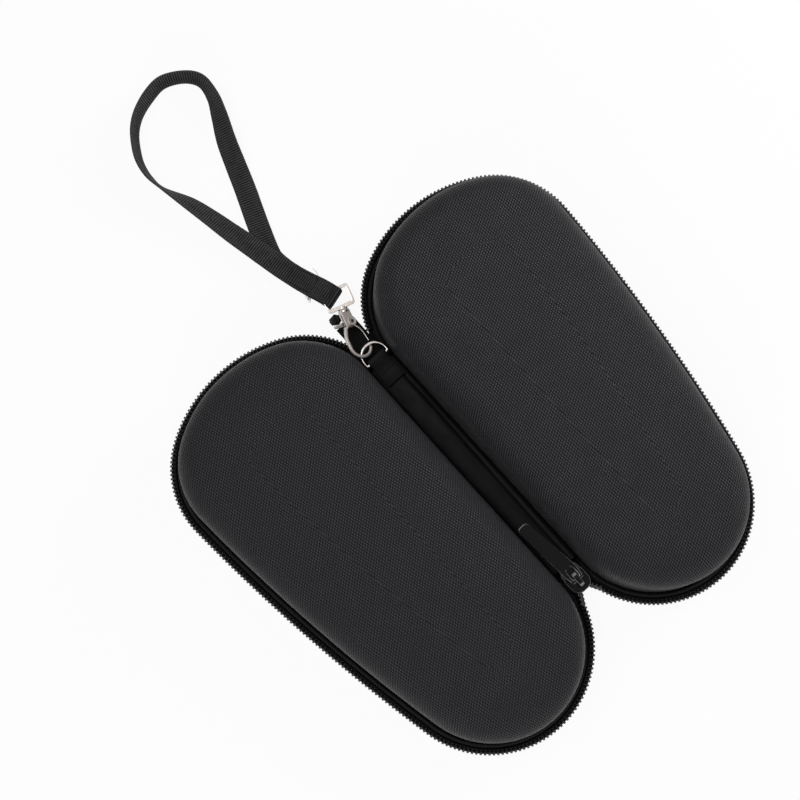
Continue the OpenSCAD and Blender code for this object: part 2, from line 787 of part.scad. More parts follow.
// The webbing loop: an eight-sided flat section swept along its route
module wrist_strap() {
    path = fine_route(strap_route, strap_steps);
    last = len(path) - 1;
    edge = webbing_t / 4;
    side = webbing_w / 2;
    thick = webbing_t / 2;
    section = [
        [side, -edge], [side, edge], [side - edge, thick], [edge - side, thick],
        [-side, edge], [-side, -edge], [edge - side, -thick], [side - edge, -thick]];
    count = len(section);
    rings = [for (i = [0 : last]) ring_points(path, i, last, section)];
    points = [for (ring = rings) for (p = ring) p];
    walls = [for (i = [0 : last - 1]) for (k = [0 : count - 1]) for (half = [0, 1])
        let (near = i * count + k)
        let (next = i * count + (k + 1) % count)
        half == 0 ? [near, next, next + count] : [near, next + count, near + count]];
    color([0.11, 0.115, 0.11])
    translate([0, ring_y, 0])
    polyhedron(
        points = points,
        faces = concat(
            walls,
            [[for (k = [0 : count - 1]) count - 1 - k]],
            [[for (k = [0 : count - 1]) last * count + k]]));
}

// The webbing's section at one step of the route, square to its run and rolled about it
function ring_points(path, i, last, section) =
    let (here = [path[i][0], path[i][1], path[i][2]])
    let (step = path[min(i + 1, last)] - path[max(i - 1, 0)])
    let (run = [step[0], step[1], step[2]] / norm([step[0], step[1], step[2]]))
    let (across = [run[1], -run[0], 0] / norm([run[0], run[1]]))
    let (up = cross(across, run))
    let (roll = path[i][3])
    [for (s = section)
        here + across * (s[0] * cos(roll) - s[1] * sin(roll))
        + up * (s[0] * sin(roll) + s[1] * cos(roll))];

left_cover();
left_foam_shell();
left_lining();
left_piping();
left_zip_tape();
left_zip_coil();
mesh_pocket();
pocket_elastic();
right_cover();
right_foam_shell();
right_lining();
right_piping();
right_zip_tape();
right_zip_coil();
elastic_band();
spine_cover();
spine_lining();
ring_tab();
grab_tab();
chain_end();
slider_body();
slider_bridge();
zip_puller();
d_ring();
clasp_hook();
clasp_gate();
gate_pin();
gate_spring();
strap_eye();
wrist_strap();
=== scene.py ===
"""Looks of an open, zippered hard case with a swivel clasp and a wrist strap.

The frame is in metres. Sizes in the classes below are in millimetres and are scaled once, in Shaper.
"""

import logging
import math
from dataclasses import dataclass, field
from enum import Enum
from typing import Callable, Iterable, Optional, Sequence

import bmesh
import bpy
from mathutils import Matrix, Vector, noise

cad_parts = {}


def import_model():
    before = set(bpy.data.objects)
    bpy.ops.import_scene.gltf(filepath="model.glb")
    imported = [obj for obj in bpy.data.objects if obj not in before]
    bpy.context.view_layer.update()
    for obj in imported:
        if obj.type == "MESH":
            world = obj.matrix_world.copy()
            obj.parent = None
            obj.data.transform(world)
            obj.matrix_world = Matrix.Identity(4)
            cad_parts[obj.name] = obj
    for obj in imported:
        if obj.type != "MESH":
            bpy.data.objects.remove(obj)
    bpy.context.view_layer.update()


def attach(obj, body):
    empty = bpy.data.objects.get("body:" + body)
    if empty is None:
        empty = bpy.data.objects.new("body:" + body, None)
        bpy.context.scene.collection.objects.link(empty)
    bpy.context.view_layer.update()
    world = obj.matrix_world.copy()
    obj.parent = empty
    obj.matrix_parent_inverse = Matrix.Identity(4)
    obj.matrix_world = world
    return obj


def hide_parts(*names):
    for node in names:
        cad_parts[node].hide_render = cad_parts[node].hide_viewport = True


LOG = logging.getLogger("hard_case")
MM = 0.001
HALF_TURN = math.pi
Point = tuple[float, float, float]
Flat = tuple[float, float]
Colour = tuple[float, float, float, float]
Section = Callable[[float, int], Flat]
Trail = list[tuple[Vector, Vector]]


class Side(Enum):
    """The two halves of the case, by the sign of their X."""

    LEFT = -1
    RIGHT = 1


def linear(level: float) -> float:
    """Turns a display level into linear light.

    Args:
        level: Display level from 0 to 255.

    Returns:
        The linear value from 0 to 1.
    """
    v = level / 255
    return v / 12.92 if v <= 0.04045 else ((v + 0.055) / 1.055) ** 2.4


def shade(r: float, g: float, b: float) -> Colour:
    """Returns a linear colour with full alpha from display levels of 0 to 255."""
    return (linear(r), linear(g), linear(b), 1.0)


def polar(centre: Flat, r: float, angle: float) -> Flat:
    """Returns the point at a radius and an angle in degrees from a centre."""
    a = math.radians(angle)
    return (centre[0] + r * math.cos(a), centre[1] + r * math.sin(a))


def heading(a: Flat, b: Flat) -> float:
    """Returns the angle in degrees of the line from a to b."""
    return math.degrees(math.atan2(b[1] - a[1], b[0] - a[0]))


def fan(steps: int, whole: float = 2 * math.pi, ends: bool = False) -> list[float]:
    """Returns evenly spaced angles over a whole angle, with its end where both ends are wanted."""
    return [whole * k / steps for k in range(steps + ends)]


def oval(half_w: float, half_h: float, sides: int) -> Section:
    """Returns the section of a strand or wire, an oval of two half widths."""
    return lambda t, j: (half_w * math.cos(2 * math.pi * j / sides),
                         half_h * math.sin(2 * math.pi * j / sides))


def mirrored(points: Sequence[Flat]) -> list[Flat]:
    """Returns points and their mirror images, without doubles on the middle line."""
    return [*points, *((-x, y) for x, y in reversed(points) if x)]


def linked(name: str, data: bpy.types.ID) -> bpy.types.Object:
    """Adds a new object to the scene.

    Args:
        name: Its name.
        data: Its mesh, camera or light.

    Returns:
        The object.
    """
    obj = bpy.data.objects.new(name, data)
    bpy.context.scene.collection.objects.link(obj)
    return obj


class Graph:
    """A material's node tree with a Principled shader, and short calls to build it."""

    def __init__(self, name: str) -> None:
        """Starts a material with a plain shader.

        Args:
            name: The material's name.
        """
        self.material = bpy.data.materials.new(name)
        self.material.use_nodes = True
        self.tree = self.material.node_tree
        self.shader = self.tree.nodes["Principled BSDF"]

    def add(self, kind: str, **settings: object) -> bpy.types.Node:
        """Adds a node.

        Args:
            kind: Its type.
            settings: Its properties.

        Returns:
            The node.
        """
        node = self.tree.nodes.new(kind)
        for key, value in settings.items():
            setattr(node, key, value)
        return node

    def join(self, source: bpy.types.NodeSocket, target: bpy.types.NodeSocket) -> None:
        """Links two sockets."""
        self.tree.links.new(source, target)

    def fill(self, socket: bpy.types.NodeSocket, value: object) -> None:
        """Links a socket to the value, or sets it where the value is plain."""
        if isinstance(value, bpy.types.NodeSocket):
            self.join(value, socket)
        else:
            socket.default_value = value

    def math(self, operation: str, a: object, b: object = 0.0, clamp: bool = False) -> bpy.types.NodeSocket:
        """Adds a Math node.

        Args:
            operation: What it does.
            a: A number or a socket.
            b: Another.
            clamp: Whether the result stays between 0 and 1.

        Returns:
            The result.
        """
        node = self.add("ShaderNodeMath", operation=operation, use_clamp=clamp)
        self.fill(node.inputs[0], a)
        self.fill(node.inputs[1], b)
        return node.outputs[0]

    def wave(self, along: bpy.types.NodeSocket, turn: float = HALF_TURN,
             kind: str = "SINE") -> bpy.types.NodeSocket:
        """Returns a wave along a coordinate, which turns by an angle in each unit."""
        return self.math(kind, self.math("MULTIPLY", along, turn))

    def swing(self, factor: bpy.types.NodeSocket, size: float) -> bpy.types.NodeSocket:
        """Returns a factor of 0 to 1 as a swing about zero of the given size."""
        return self.math("MULTIPLY", self.math("SUBTRACT", factor, 0.5), size)

    def place(self, source: str = "Object", turn: float = 0.0,
              scale: Point = (1, 1, 1)) -> bpy.types.NodeSocket:
        """Adds coordinates.

        Args:
            source: Which coordinates.
            turn: Degrees they are first turned about Z.
            scale: What they are then scaled by.

        Returns:
            The coordinates.
        """
        coords = self.add("ShaderNodeTexCoord").outputs[source]
        first = self.add("ShaderNodeMapping")
        first.inputs["Rotation"].default_value = (0, 0, math.radians(turn))
        self.join(coords, first.inputs["Vector"])
        second = self.add("ShaderNodeMapping")
        second.inputs["Scale"].default_value = scale
        self.join(first.outputs[0], second.inputs["Vector"])
        return second.outputs[0]

    def split(self, vector: bpy.types.NodeSocket) -> list[bpy.types.NodeSocket]:
        """Splits a vector.

        Args:
            vector: The vector.

        Returns:
            Its X, Y and Z.
        """
        node = self.add("ShaderNodeSeparateXYZ")
        self.join(vector, node.inputs[0])
        return list(node.outputs)

    def noise(self, vector: bpy.types.NodeSocket, scale: float, detail: float = 3.0,
              rough: float = 0.55) -> bpy.types.NodeSocket:
        """Adds a noise texture.

        Args:
            vector: Where it is taken.
            scale: Its scale.
            detail: Its detail.
            rough: Its roughness.

        Returns:
            Its factor.
        """
        node = self.add("ShaderNodeTexNoise")
        self.join(vector, node.inputs["Vector"])
        node.inputs["Scale"].default_value = scale
        node.inputs["Detail"].default_value = detail
        node.inputs["Roughness"].default_value = rough
        return node.outputs["Fac"]

    def ramp(self, factor: bpy.types.NodeSocket,
             stops: Sequence[tuple[float, Colour]]) -> bpy.types.NodeSocket:
        """Adds a colour ramp.

        Args:
            factor: What drives it.
            stops: Its stops, each as place and colour.

        Returns:
            Its colour.
        """
        node = self.add("ShaderNodeValToRGB")
        self.join(factor, node.inputs[0])
        stack = node.color_ramp.elements
        while len(stack) < len(stops):
            stack.new(0.5)
        for element, (position, colour) in zip(stack, stops):
            element.position = position
            element.color = colour
        return node.outputs[0]

    def span(self, factor: bpy.types.NodeSocket, low: float, high: float, to_low: float = 0.0,
             to_high: float = 1.0) -> bpy.types.NodeSocket:
        """Maps a factor from one range to another, clamped.

        Args:
            factor: The factor.
            low: Where the first range starts.
            high: Where it ends.
            to_low: Where the second starts.
            to_high: Where it ends.

        Returns:
            The mapped factor.
        """
        node = self.add("ShaderNodeMapRange")
        self.join(factor, node.inputs["Value"])
        for name, value in (("From Min", low), ("From Max", high), ("To Min", to_low), ("To Max", to_high)):
            node.inputs[name].default_value = value
        return node.outputs[0]

    def bump(self, height: bpy.types.NodeSocket, strength: float, distance: float,
             under: Optional[bpy.types.NodeSocket] = None) -> bpy.types.NodeSocket:
        """Bends the normal by a height.

        Args:
            height: The height.
            strength: How much of it shows.
            distance: How high it is, in metres.
            under: A normal that is bent already.

        Returns:
            The bent normal.
        """
        node = self.add("ShaderNodeBump")
        node.inputs["Strength"].default_value = strength
        node.inputs["Distance"].default_value = distance
        self.join(height, node.inputs["Height"])
        if under is not None:
            self.join(under, node.inputs["Normal"])
        return node.outputs[0]

    def set(self, **values: object) -> None:
        """Sets or links the shader's sockets, with _ for a space in their names."""
        for name, value in values.items():
            self.fill(self.shader.inputs[name.replace("_", " ")], value)


@dataclass(frozen=True)
class Finish:
    """A surface finish; build() makes its material."""

    name: str
    tone: tuple[float, float, float]

    def build(self) -> bpy.types.Material:
        """Returns the finished material."""
        raise NotImplementedError

    def tint(self, red: float, green: Optional[float] = None, blue: Optional[float] = None) -> Colour:
        """Returns the tone made lighter or darker by a factor, or by one for each channel."""
        factors = (red, red if green is None else green, red if blue is None else blue)
        return shade(*(level * factor for level, factor in zip(self.tone, factors)))


@dataclass(frozen=True)
class Weave(Finish):
    """Plain-woven coated nylon, laid out over the unfolded sheet in the UV map."""

    turn: float
    contrast: float
    coarse: float = 1.01
    tight: float = 0.66

    def build(self) -> bpy.types.Material:
        """Makes the woven material.

        Returns:
            The material.
        """
        g = Graph(self.name)
        across, along, _ = g.split(g.place("UV", self.turn, (1000 / self.tight, 1000 / self.coarse, 1)))
        wander = g.noise(g.place("UV"), 30, 2)
        across = g.math("ADD", across, g.math("MULTIPLY", wander, 0.9))
        along = g.math("ADD", along, g.math("MULTIPLY", wander, 0.6))
        cells = g.math("MULTIPLY", g.wave(across), g.wave(along))
        patches = g.noise(g.place("UV"), 90, 3)
        depth = g.span(patches, 0.3, 0.7, self.contrast * 0.55, self.contrast * 1.25)
        worn = g.noise(g.place("Object"), 14, 4)
        # The colour follows the weave's height: painted shade in the thread gaps and painted highlight on the
        # raised threads, times a random tone.
        level = g.math("MULTIPLY", g.math("ADD", 1.0, g.math("MULTIPLY", cells, depth)),
                       g.span(worn, 0.3, 0.7, 0.93, 1.07))
        colour = g.add("ShaderNodeVectorMath", operation="SCALE")
        colour.inputs[0].default_value = shade(*self.tone)[:3]
        g.join(level, colour.inputs["Scale"])
        bent = g.bump(g.noise(g.place("Object"), 45, 3), 0.25, 0.0006)
        bent = g.bump(cells, 0.8, 0.0002, bent)
        g.set(Base_Color=colour.outputs[0], Normal=bent, Roughness=g.span(cells, -1, 1, 0.58, 0.36),
              Specular_IOR_Level=0.12, Sheen_Weight=0.05, Sheen_Roughness=0.25)
        return g.material


@dataclass(frozen=True)
class Fabric(Finish):
    """Plain fabric with a fine weave in object space, such as lining, tape and binding."""

    pitch: float
    rough: float
    ribs: float = 0.0
    depth: float = 0.00015
    sheen: float = 0.15

    def build(self) -> bpy.types.Material:
        """Makes the fabric material.

        Returns:
            The material.
        """
        g = Graph(self.name)
        x, y, z = g.split(g.place("Object", 20, (1000 / self.pitch,) * 3))
        waves = [g.wave(g.math("ADD", axis, g.math("MULTIPLY", z, 0.7))) for axis in (x, y)]
        cells = g.math("MULTIPLY", *waves)
        height = cells
        if self.ribs:
            u, _, _ = g.split(g.place("UV", 0, (1000 / self.ribs, 1, 1)))
            height = g.math("ADD", g.math("MULTIPLY", cells, 0.35), g.wave(u, 2 * math.pi))
        fuzz = g.noise(g.place("Object"), 700, 3)
        # The colour follows the weave's and ribs' height: painted shade where they sit low and painted
        # highlight where they stand high, with random fuzz.
        level = g.math("ADD", g.span(height, -1.3, 1.3, 0.2, 0.6), g.swing(fuzz, 0.7))
        colour = g.ramp(level, [(0.1, self.tint(0.55)), (0.5, self.tint(1)), (0.9, self.tint(1.35))])
        bent = g.bump(fuzz, 0.4, 0.0002, g.bump(height, 0.7, self.depth))
        g.set(Base_Color=colour, Normal=bent, Roughness=self.rough, Specular_IOR_Level=0.08,
              Sheen_Weight=self.sheen * 0.1, Sheen_Roughness=0.5)
        return g.material


@dataclass(frozen=True)
class Webbing(Finish):
    """Flat ribbed webbing: ribs run across, and the U of its UV map runs along it in metres."""

    rib: float

    def build(self) -> bpy.types.Material:
        """Makes the webbing material.

        Returns:
            The material.
        """
        g = Graph(self.name)
        u, v, _ = g.split(g.place("UV", 0, (1000 / self.rib, 1000 / 0.55, 1)))
        rib = g.wave(u, 2 * math.pi, "COSINE")
        cells = g.math("MULTIPLY", rib, g.wave(v, 2 * math.pi))
        fuzz = g.noise(g.place("Object"), 900, 3)
        patches = g.noise(g.place("Object"), 120, 2)
        # The colour follows the ribs' height: painted shade in the grooves and painted highlight on the ribs,
        # with random fuzz and patches.
        mixed = g.math("ADD", g.math("MULTIPLY", rib, 0.42), g.math("MULTIPLY", cells, 0.14))
        level = g.math("ADD", g.math("ADD", mixed, 0.5), g.swing(fuzz, 0.5))
        level = g.math("ADD", level, g.swing(patches, 0.3))
        stops = [(0.08, self.tint(0.45, 0.46, 0.45)), (0.5, self.tint(1)),
                 (0.95, self.tint(1.45, 1.45, 1.42))]
        colour = g.ramp(level, stops)
        bent = g.bump(fuzz, 0.35, 0.0002, g.bump(mixed, 1.0, 0.0003))
        g.set(Base_Color=colour, Normal=bent, Roughness=0.6, Specular_IOR_Level=0.1)
        return g.material


@dataclass(frozen=True)
class Coated(Finish):
    """Smooth coated fabric: fine grain, soft creases and low sheen."""

    rough: float
    grain: float = 1400.0

    def build(self) -> bpy.types.Material:
        """Makes the leather-like material.

        Returns:
            The material.
        """
        g = Graph(self.name)
        here = g.place("Object")
        grain = g.add("ShaderNodeTexVoronoi", feature="DISTANCE_TO_EDGE")
        g.join(here, grain.inputs["Vector"])
        grain.inputs["Scale"].default_value = self.grain
        cracks = g.span(grain.outputs["Distance"], 0.0, 0.12)
        creases = g.noise(g.place("Object", 0, (1, 0.35, 1)), 260, 4)
        broad = g.noise(here, 60, 3)
        colour = g.ramp(broad, [(0.3, self.tint(0.75)), (0.7, self.tint(1.2))])
        bent = g.bump(creases, 0.35, 0.0004, g.bump(cracks, 0.2, 0.00005))
        g.set(Base_Color=colour, Normal=bent,
              Roughness=g.span(creases, 0.3, 0.7, self.rough - 0.06, self.rough + 0.12),
              Specular_IOR_Level=0.1)
        return g.material


@dataclass(frozen=True)
class Gloss(Finish):
    """Glossy moulded plastic or enamel, with fine scuffs."""

    rough: float
    shine: float

    def build(self) -> bpy.types.Material:
        """Makes the glossy material.

        Returns:
            The material.
        """
        g = Graph(self.name)
        here = g.place("Object")
        scuffs = g.noise(g.place("Object", 35, (1, 6, 1)), 500, 4)
        wear = g.noise(here, 320, 3)
        colour = g.ramp(wear, [(0.35, self.tint(0.8)), (0.75, self.tint(1.2))])
        g.set(Base_Color=colour, Roughness=g.span(scuffs, 0.3, 0.75, self.rough * 0.75, self.rough * 1.7),
              Normal=g.bump(scuffs, 0.12, 0.0001), Specular_IOR_Level=self.shine)
        return g.material


@dataclass(frozen=True)
class Plated(Finish):
    """Nickel-plated casting, slightly wavy, with faint handling marks."""

    rough: float
    metal: float = 1.0

    def build(self) -> bpy.types.Material:
        """Makes the metal material.

        Returns:
            The material.
        """
        g = Graph(self.name)
        here = g.place("Object")
        wavy = g.noise(here, 420, 2)
        marks = g.noise(g.place("Object", 50, (1, 5, 2)), 900, 3)
        colour = g.ramp(marks, [(0.3, self.tint(0.96, 0.95, 0.945)), (0.65, self.tint(1))])
        g.set(Base_Color=colour, Metallic=self.metal,
              Roughness=g.span(marks, 0.3, 0.7, self.rough * 0.85, self.rough * 1.3),
              Normal=g.bump(marks, 0.04, 0.00003, g.bump(wavy, 0.3, 0.0003)))
        return g.material


@dataclass(frozen=True)
class Net(Finish):
    """Open net: a grid of threads, clear between them."""

    pitch: float = 2.2

    def build(self) -> bpy.types.Material:
        """Makes the net material.

        Returns:
            The material.
        """
        g = Graph(self.name)
        x, y, _ = g.split(g.place("UV", 45, (1000 / self.pitch, 1000 / self.pitch, 1)))
        waves = [g.math("ABSOLUTE", g.wave(axis)) for axis in (x, y)]
        gap = g.math("MINIMUM", *waves)
        solid = g.span(gap, 0.52, 0.62, 1.0, 0.0)
        fuzz = g.noise(g.place("Object"), 900, 2)
        colour = g.ramp(fuzz, [(0.3, self.tint(0.7)), (0.7, self.tint(1.2))])
        g.set(Base_Color=colour, Alpha=solid, Roughness=0.7, Normal=g.bump(gap, 0.6, 0.0003))
        return g.material


class Palette:
    """Makes each finish once."""

    def __init__(self) -> None:
        """Starts with no materials."""
        self._made: dict[str, bpy.types.Material] = {}

    def get(self, finish: Finish) -> bpy.types.Material:
        """Returns the finish's material."""
        if finish.name not in self._made:
            self._made[finish.name] = finish.build()
        return self._made[finish.name]


# The right cover's tone is a shade lighter than the left's: painted light, as the right half is lit a little
# more.
COVERS = {
    Side.LEFT: Weave("woven_left", (29, 29, 31.5), turn=17.4, contrast=2.2),
    Side.RIGHT: Weave("woven_right", (30, 30, 32.5), turn=27.5, contrast=2.9),
}
LINING = Fabric("lining", (33, 33, 34), pitch=0.7, rough=0.9, depth=0.0002, sheen=0.3)
FOAM = Fabric("foam", (24, 24, 25), pitch=0.3, rough=0.85)
PIPING = Fabric("piping", (19, 19, 20), pitch=0.45, ribs=1.1, rough=0.6)
TAPE = Fabric("zip_tape", (14, 14, 15), pitch=0.4, ribs=0.9, rough=0.75)
TEETH = Gloss("zip_teeth", (26, 26, 29), rough=0.26, shine=0.6)
SPINE = Coated("leatherette", (15, 15, 15.5), rough=0.45)
TAB = Coated("ring_tab_leather", (17, 17, 17), rough=0.48)
STRAP = Webbing("webbing", (52, 52, 54), rib=1.1)
GRAB = Webbing("grab_webbing", (14, 15, 14), rib=1.1)
ELASTIC = Webbing("elastic", (27, 27, 28), rib=0.8)
ENAMEL = Gloss("slider_enamel", (11, 11, 12), rough=0.25, shine=0.12)
# Bright gloss for rounded upper edges: a painted highlight along them, with edge wear.
EDGE_WEAR_AND_HIGHLIGHT = Gloss("edge_wear_and_highlight", (165, 165, 168), rough=0.2, shine=0.6)
METAL = Plated("plated", (206, 199, 195), rough=0.17)
# Near-white and nearly non-metallic: the plated casting's bright reflection is painted in as colour.
CAST_PAINTED_REFLECTION = Plated("cast_painted_reflection", (240, 231, 226), rough=0.34, metal=0.12)
# A shaded copy of the plated casting: painted shade.
SHADED = Plated("plated_in_painted_shade", (46, 44, 44), rough=0.25)
RIVET = Plated("rivet_plated", (92, 80, 75), rough=0.3, metal=0.3)
STEEL = Plated("spring", (168, 168, 170), rough=0.3)
NET = Net("net", (26, 26, 27))
THREAD = Fabric("thread", (17, 17, 17), pitch=0.2, rough=0.8)
FRAY = Fabric("fray", (24, 24, 23), pitch=0.3, rough=0.7)


class Shaper:
    """Turns operator-made grids, plates and spins into named pieces on the frame's bodies."""

    def __init__(self, palette: Palette) -> None:
        """Starts with a palette and no pieces."""
        self.palette = palette
        self.made: list[bpy.types.Object] = []

    def piece(self, name: str, bm: bmesh.types.BMesh, finish: Finish, body: str, slot: str,
              crease: float = 50.0,
              nodes: Iterable[str] = (), edge: Optional[Finish] = None) -> bpy.types.Object:
        """Finishes a mesh as a shown piece.

        Args:
            name: The piece's name.
            bm: The mesh in millimetres; it is freed.
            finish: Its finish.
            body: The body it rides on.
            slot: The record's material slot; not used.
            crease: Edges sharper than this many degrees stay sharp.
            nodes: The CAD nodes it stands for.
            edge: The finish of its rounded upper edges: a painted highlight along them, with edge wear.

        Returns:
            The new object.
        """
        bmesh.ops.remove_doubles(bm, verts=bm.verts, dist=0.001)
        bmesh.ops.recalc_face_normals(bm, faces=bm.faces)
        # Faces tilted upwards, the rounded upper edges, take the second finish: a painted highlight with edge
        # wear.
        if edge is not None:
            bm.normal_update()
            for face in bm.faces:
                face.material_index = int(0.3 < face.normal.z < 0.93)
        bmesh.ops.scale(bm, vec=(MM, MM, MM), verts=bm.verts)
        mesh = bpy.data.meshes.new(name)
        bm.to_mesh(mesh)
        bm.free()
        mesh.shade_smooth()
        mesh.set_sharp_from_angle(angle=math.radians(crease))
        for each in (finish,) if edge is None else (finish, edge):
            mesh.materials.append(self.palette.get(each))
        obj = linked(name, mesh)
        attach(obj, body)
        if nodes:
            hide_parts(*nodes)
        self.made.append(obj)
        return obj

    @staticmethod
    def bent(columns: int, rows: int, shape: Callable[[int, int], Point],
             spread: Optional[Callable[[int, int], Flat]] = None,
             into: Optional[bmesh.types.BMesh] = None) -> bmesh.types.BMesh:
        """Bends a flat grid into a shape.

        Args:
            columns: Steps along the first direction.
            rows: Steps along the second.
            shape: Gives the place of each grid point.
            spread: Gives its UV, in metres.
            into: The mesh to add to.

        Returns:
            The mesh.
        """
        bm = into or bmesh.new()
        grid = bmesh.ops.create_grid(bm, x_segments=columns, y_segments=rows, size=1)["verts"]
        index = {v: (round((v.co.x + 1) / 2 * columns), round((v.co.y + 1) / 2 * rows)) for v in grid}
        if spread is not None:
            layer = bm.loops.layers.uv.verify()
            for face in {f for v in grid for f in v.link_faces}:
                for loop in face.loops:
                    loop[layer].uv = spread(*index[loop.vert])
        for v, (i, j) in index.items():
            v.co = Vector(shape(i, j))
        return bm

    @staticmethod
    def close(bm: bmesh.types.BMesh) -> bmesh.types.BMesh:
        """Welds seams and fills the open ends.

        Args:
            bm: The mesh.

        Returns:
            The same mesh.
        """
        bmesh.ops.remove_doubles(bm, verts=bm.verts, dist=0.001)
        rims = [e for e in bm.edges if e.is_boundary]
        if rims:
            bmesh.ops.holes_fill(bm, edges=rims, sides=0)
        return bm

    def tube(self, line: Sequence[Vector], section: Section, sides: int, up: Vector = Vector((0, 0, 1)),
             into: Optional[bmesh.types.BMesh] = None, loop: bool = False) -> bmesh.types.BMesh:
        """Sweeps a section along a line.

        Args:
            line: The points of the middle line.
            section: Gives the section's point from the share of the way and the corner's number.
            sides: Corners of the section.
            up: The direction that the section's second axis leans to.
            into: The mesh to add to.
            loop: Whether the line closes on itself.

        Returns:
            The mesh, with capped ends.
        """
        count = len(line)
        frames = []
        for i, here in enumerate(line):
            after = line[(i + 1) % count] if loop else line[min(i + 1, count - 1)]
            before = line[i - 1] if loop or i else line[0]
            run = (after - before).normalized()
            across = run.cross(up).normalized()
            frames.append((here, across, across.cross(run)))
        steps = count if loop else count - 1

        def spot(i: int, j: int) -> Point:
            """Gives a point of the swept section.

            Args:
                i: The step along.
                j: The section's corner.

            Returns:
                The point.
            """
            here, across, lift = frames[i % count]
            a, b = section(i / steps, j % sides)
            return tuple(here + across * a + lift * b)

        part = self.bent(steps, sides, spot)
        self.close(part)
        if into is None:
            return part
        self.merge(into, part)
        return into

    def strand(self, line: Sequence[Vector], half_w: float, half_h: float, sides: int,
               into: Optional[bmesh.types.BMesh] = None, loop: bool = False) -> bmesh.types.BMesh:
        """Sweeps an oval along a line.

        Args:
            line: The points of the middle line.
            half_w: The oval's half width across the line.
            half_h: Its half height.
            sides: Corners of the section.
            into: The mesh to add to.
            loop: Whether the line closes on itself.

        Returns:
            The mesh, with capped ends.
        """
        return self.tube(line, oval(half_w, half_h, sides), sides, into=into, loop=loop)

    def spin(self, profile: Sequence[Flat], steps: int, move: Matrix) -> bmesh.types.BMesh:
        """Turns a profile about the upright axis.

        Args:
            profile: Its points, each as radius and height.
            steps: Steps once round.
            move: The matrix that puts the shape in its place.

        Returns:
            The mesh.
        """
        def spot(i: int, j: int) -> Point:
            """Gives a point of the turned shape.

            Args:
                i: The step along.
                j: The section's corner.

            Returns:
                The point.
            """
            r, z = profile[j]
            angle = 2 * math.pi * i / steps
            return tuple(move @ Vector((r * math.cos(angle), r * math.sin(angle), z)))

        return self.close(self.bent(steps, len(profile) - 1, spot))

    @staticmethod
    def merge(into: bmesh.types.BMesh, part: bmesh.types.BMesh, move: Optional[Matrix] = None) -> None:
        """Adds a mesh to another and frees it.

        Args:
            into: The mesh that grows.
            part: The mesh that is added.
            move: The matrix it is moved by.
        """
        if move is not None:
            bmesh.ops.transform(part, matrix=move, verts=part.verts)
        kept = bpy.data.meshes.new("part")
        part.to_mesh(kept)
        part.free()
        into.from_mesh(kept)
        bpy.data.meshes.remove(kept)

    @staticmethod
    def plate(outline: Sequence[Flat], low: float, high: float, soft: float,
              steps: int = 3) -> bmesh.types.BMesh:
        """Extrudes an outline and rounds its edges.

        Args:
            outline: The outline.
            low: The height of its underside.
            high: The height of its top.
            soft: The radius of its edges.
            steps: Steps over an edge.

        Returns:
            The mesh.
        """
        bm = bmesh.new()
        face = bm.faces.new([bm.verts.new((x, y, low)) for x, y in outline])
        top = bmesh.ops.extrude_face_region(bm, geom=[face])["geom"]
        bmesh.ops.translate(bm, vec=(0, 0, high - low),
                            verts=[v for v in top if isinstance(v, bmesh.types.BMVert)])
        bmesh.ops.recalc_face_normals(bm, faces=bm.faces)
        rims = [e for e in bm.edges if abs(e.verts[0].co.z - e.verts[1].co.z) < 1e-6]
        bmesh.ops.bevel(bm, geom=rims, offset=soft, segments=steps, profile=0.5, affect="EDGES",
                        material=-1, clamp_overlap=True)
        bm.normal_update()
        flat = [f for f in bm.faces if abs(f.normal.z) > 0.999]
        bmesh.ops.inset_individual(bm, faces=flat, thickness=0.06, use_even_offset=True)
        return bm

    def frame(self, outer: Sequence[Flat], inner: Sequence[Flat], half: float,
              soft: float) -> bmesh.types.BMesh:
        """Makes a flat loop with rounded edges.

        Args:
            outer: Its outer outline.
            inner: Its inner outline, with as many points.
            half: Half its thickness.
            soft: The radius of its edges.

        Returns:
            The mesh.
        """
        count = len(outer)
        upper = [(0, half - soft, True), (0.3, half - soft * 0.3, True), (1, half, True),
                 (1.25, half, True)]
        top = upper + [(-share, z, False) for share, z, _ in reversed(upper)]
        under = [(share, -z, outside) for share, z, outside in reversed(top)]
        levels = [(0, -half + soft, True)] + top + under[:-1]

        def spot(i: int, j: int) -> Point:
            """Gives a point of the loop, from a place on the outlines and a level.

            Args:
                i: The step along.
                j: The section's corner.

            Returns:
                The point.
            """
            i, j = i % count, j % len(levels)
            far, near = Vector(outer[i]), Vector(inner[i])
            step = (near - far).normalized() * soft
            share, z, outside = levels[j]
            flat = (far if outside else near) + step * share
            return (flat.x, flat.y, z)

        bm = self.bent(count, len(levels), spot)
        bmesh.ops.remove_doubles(bm, verts=bm.verts, dist=0.001)
        return bm


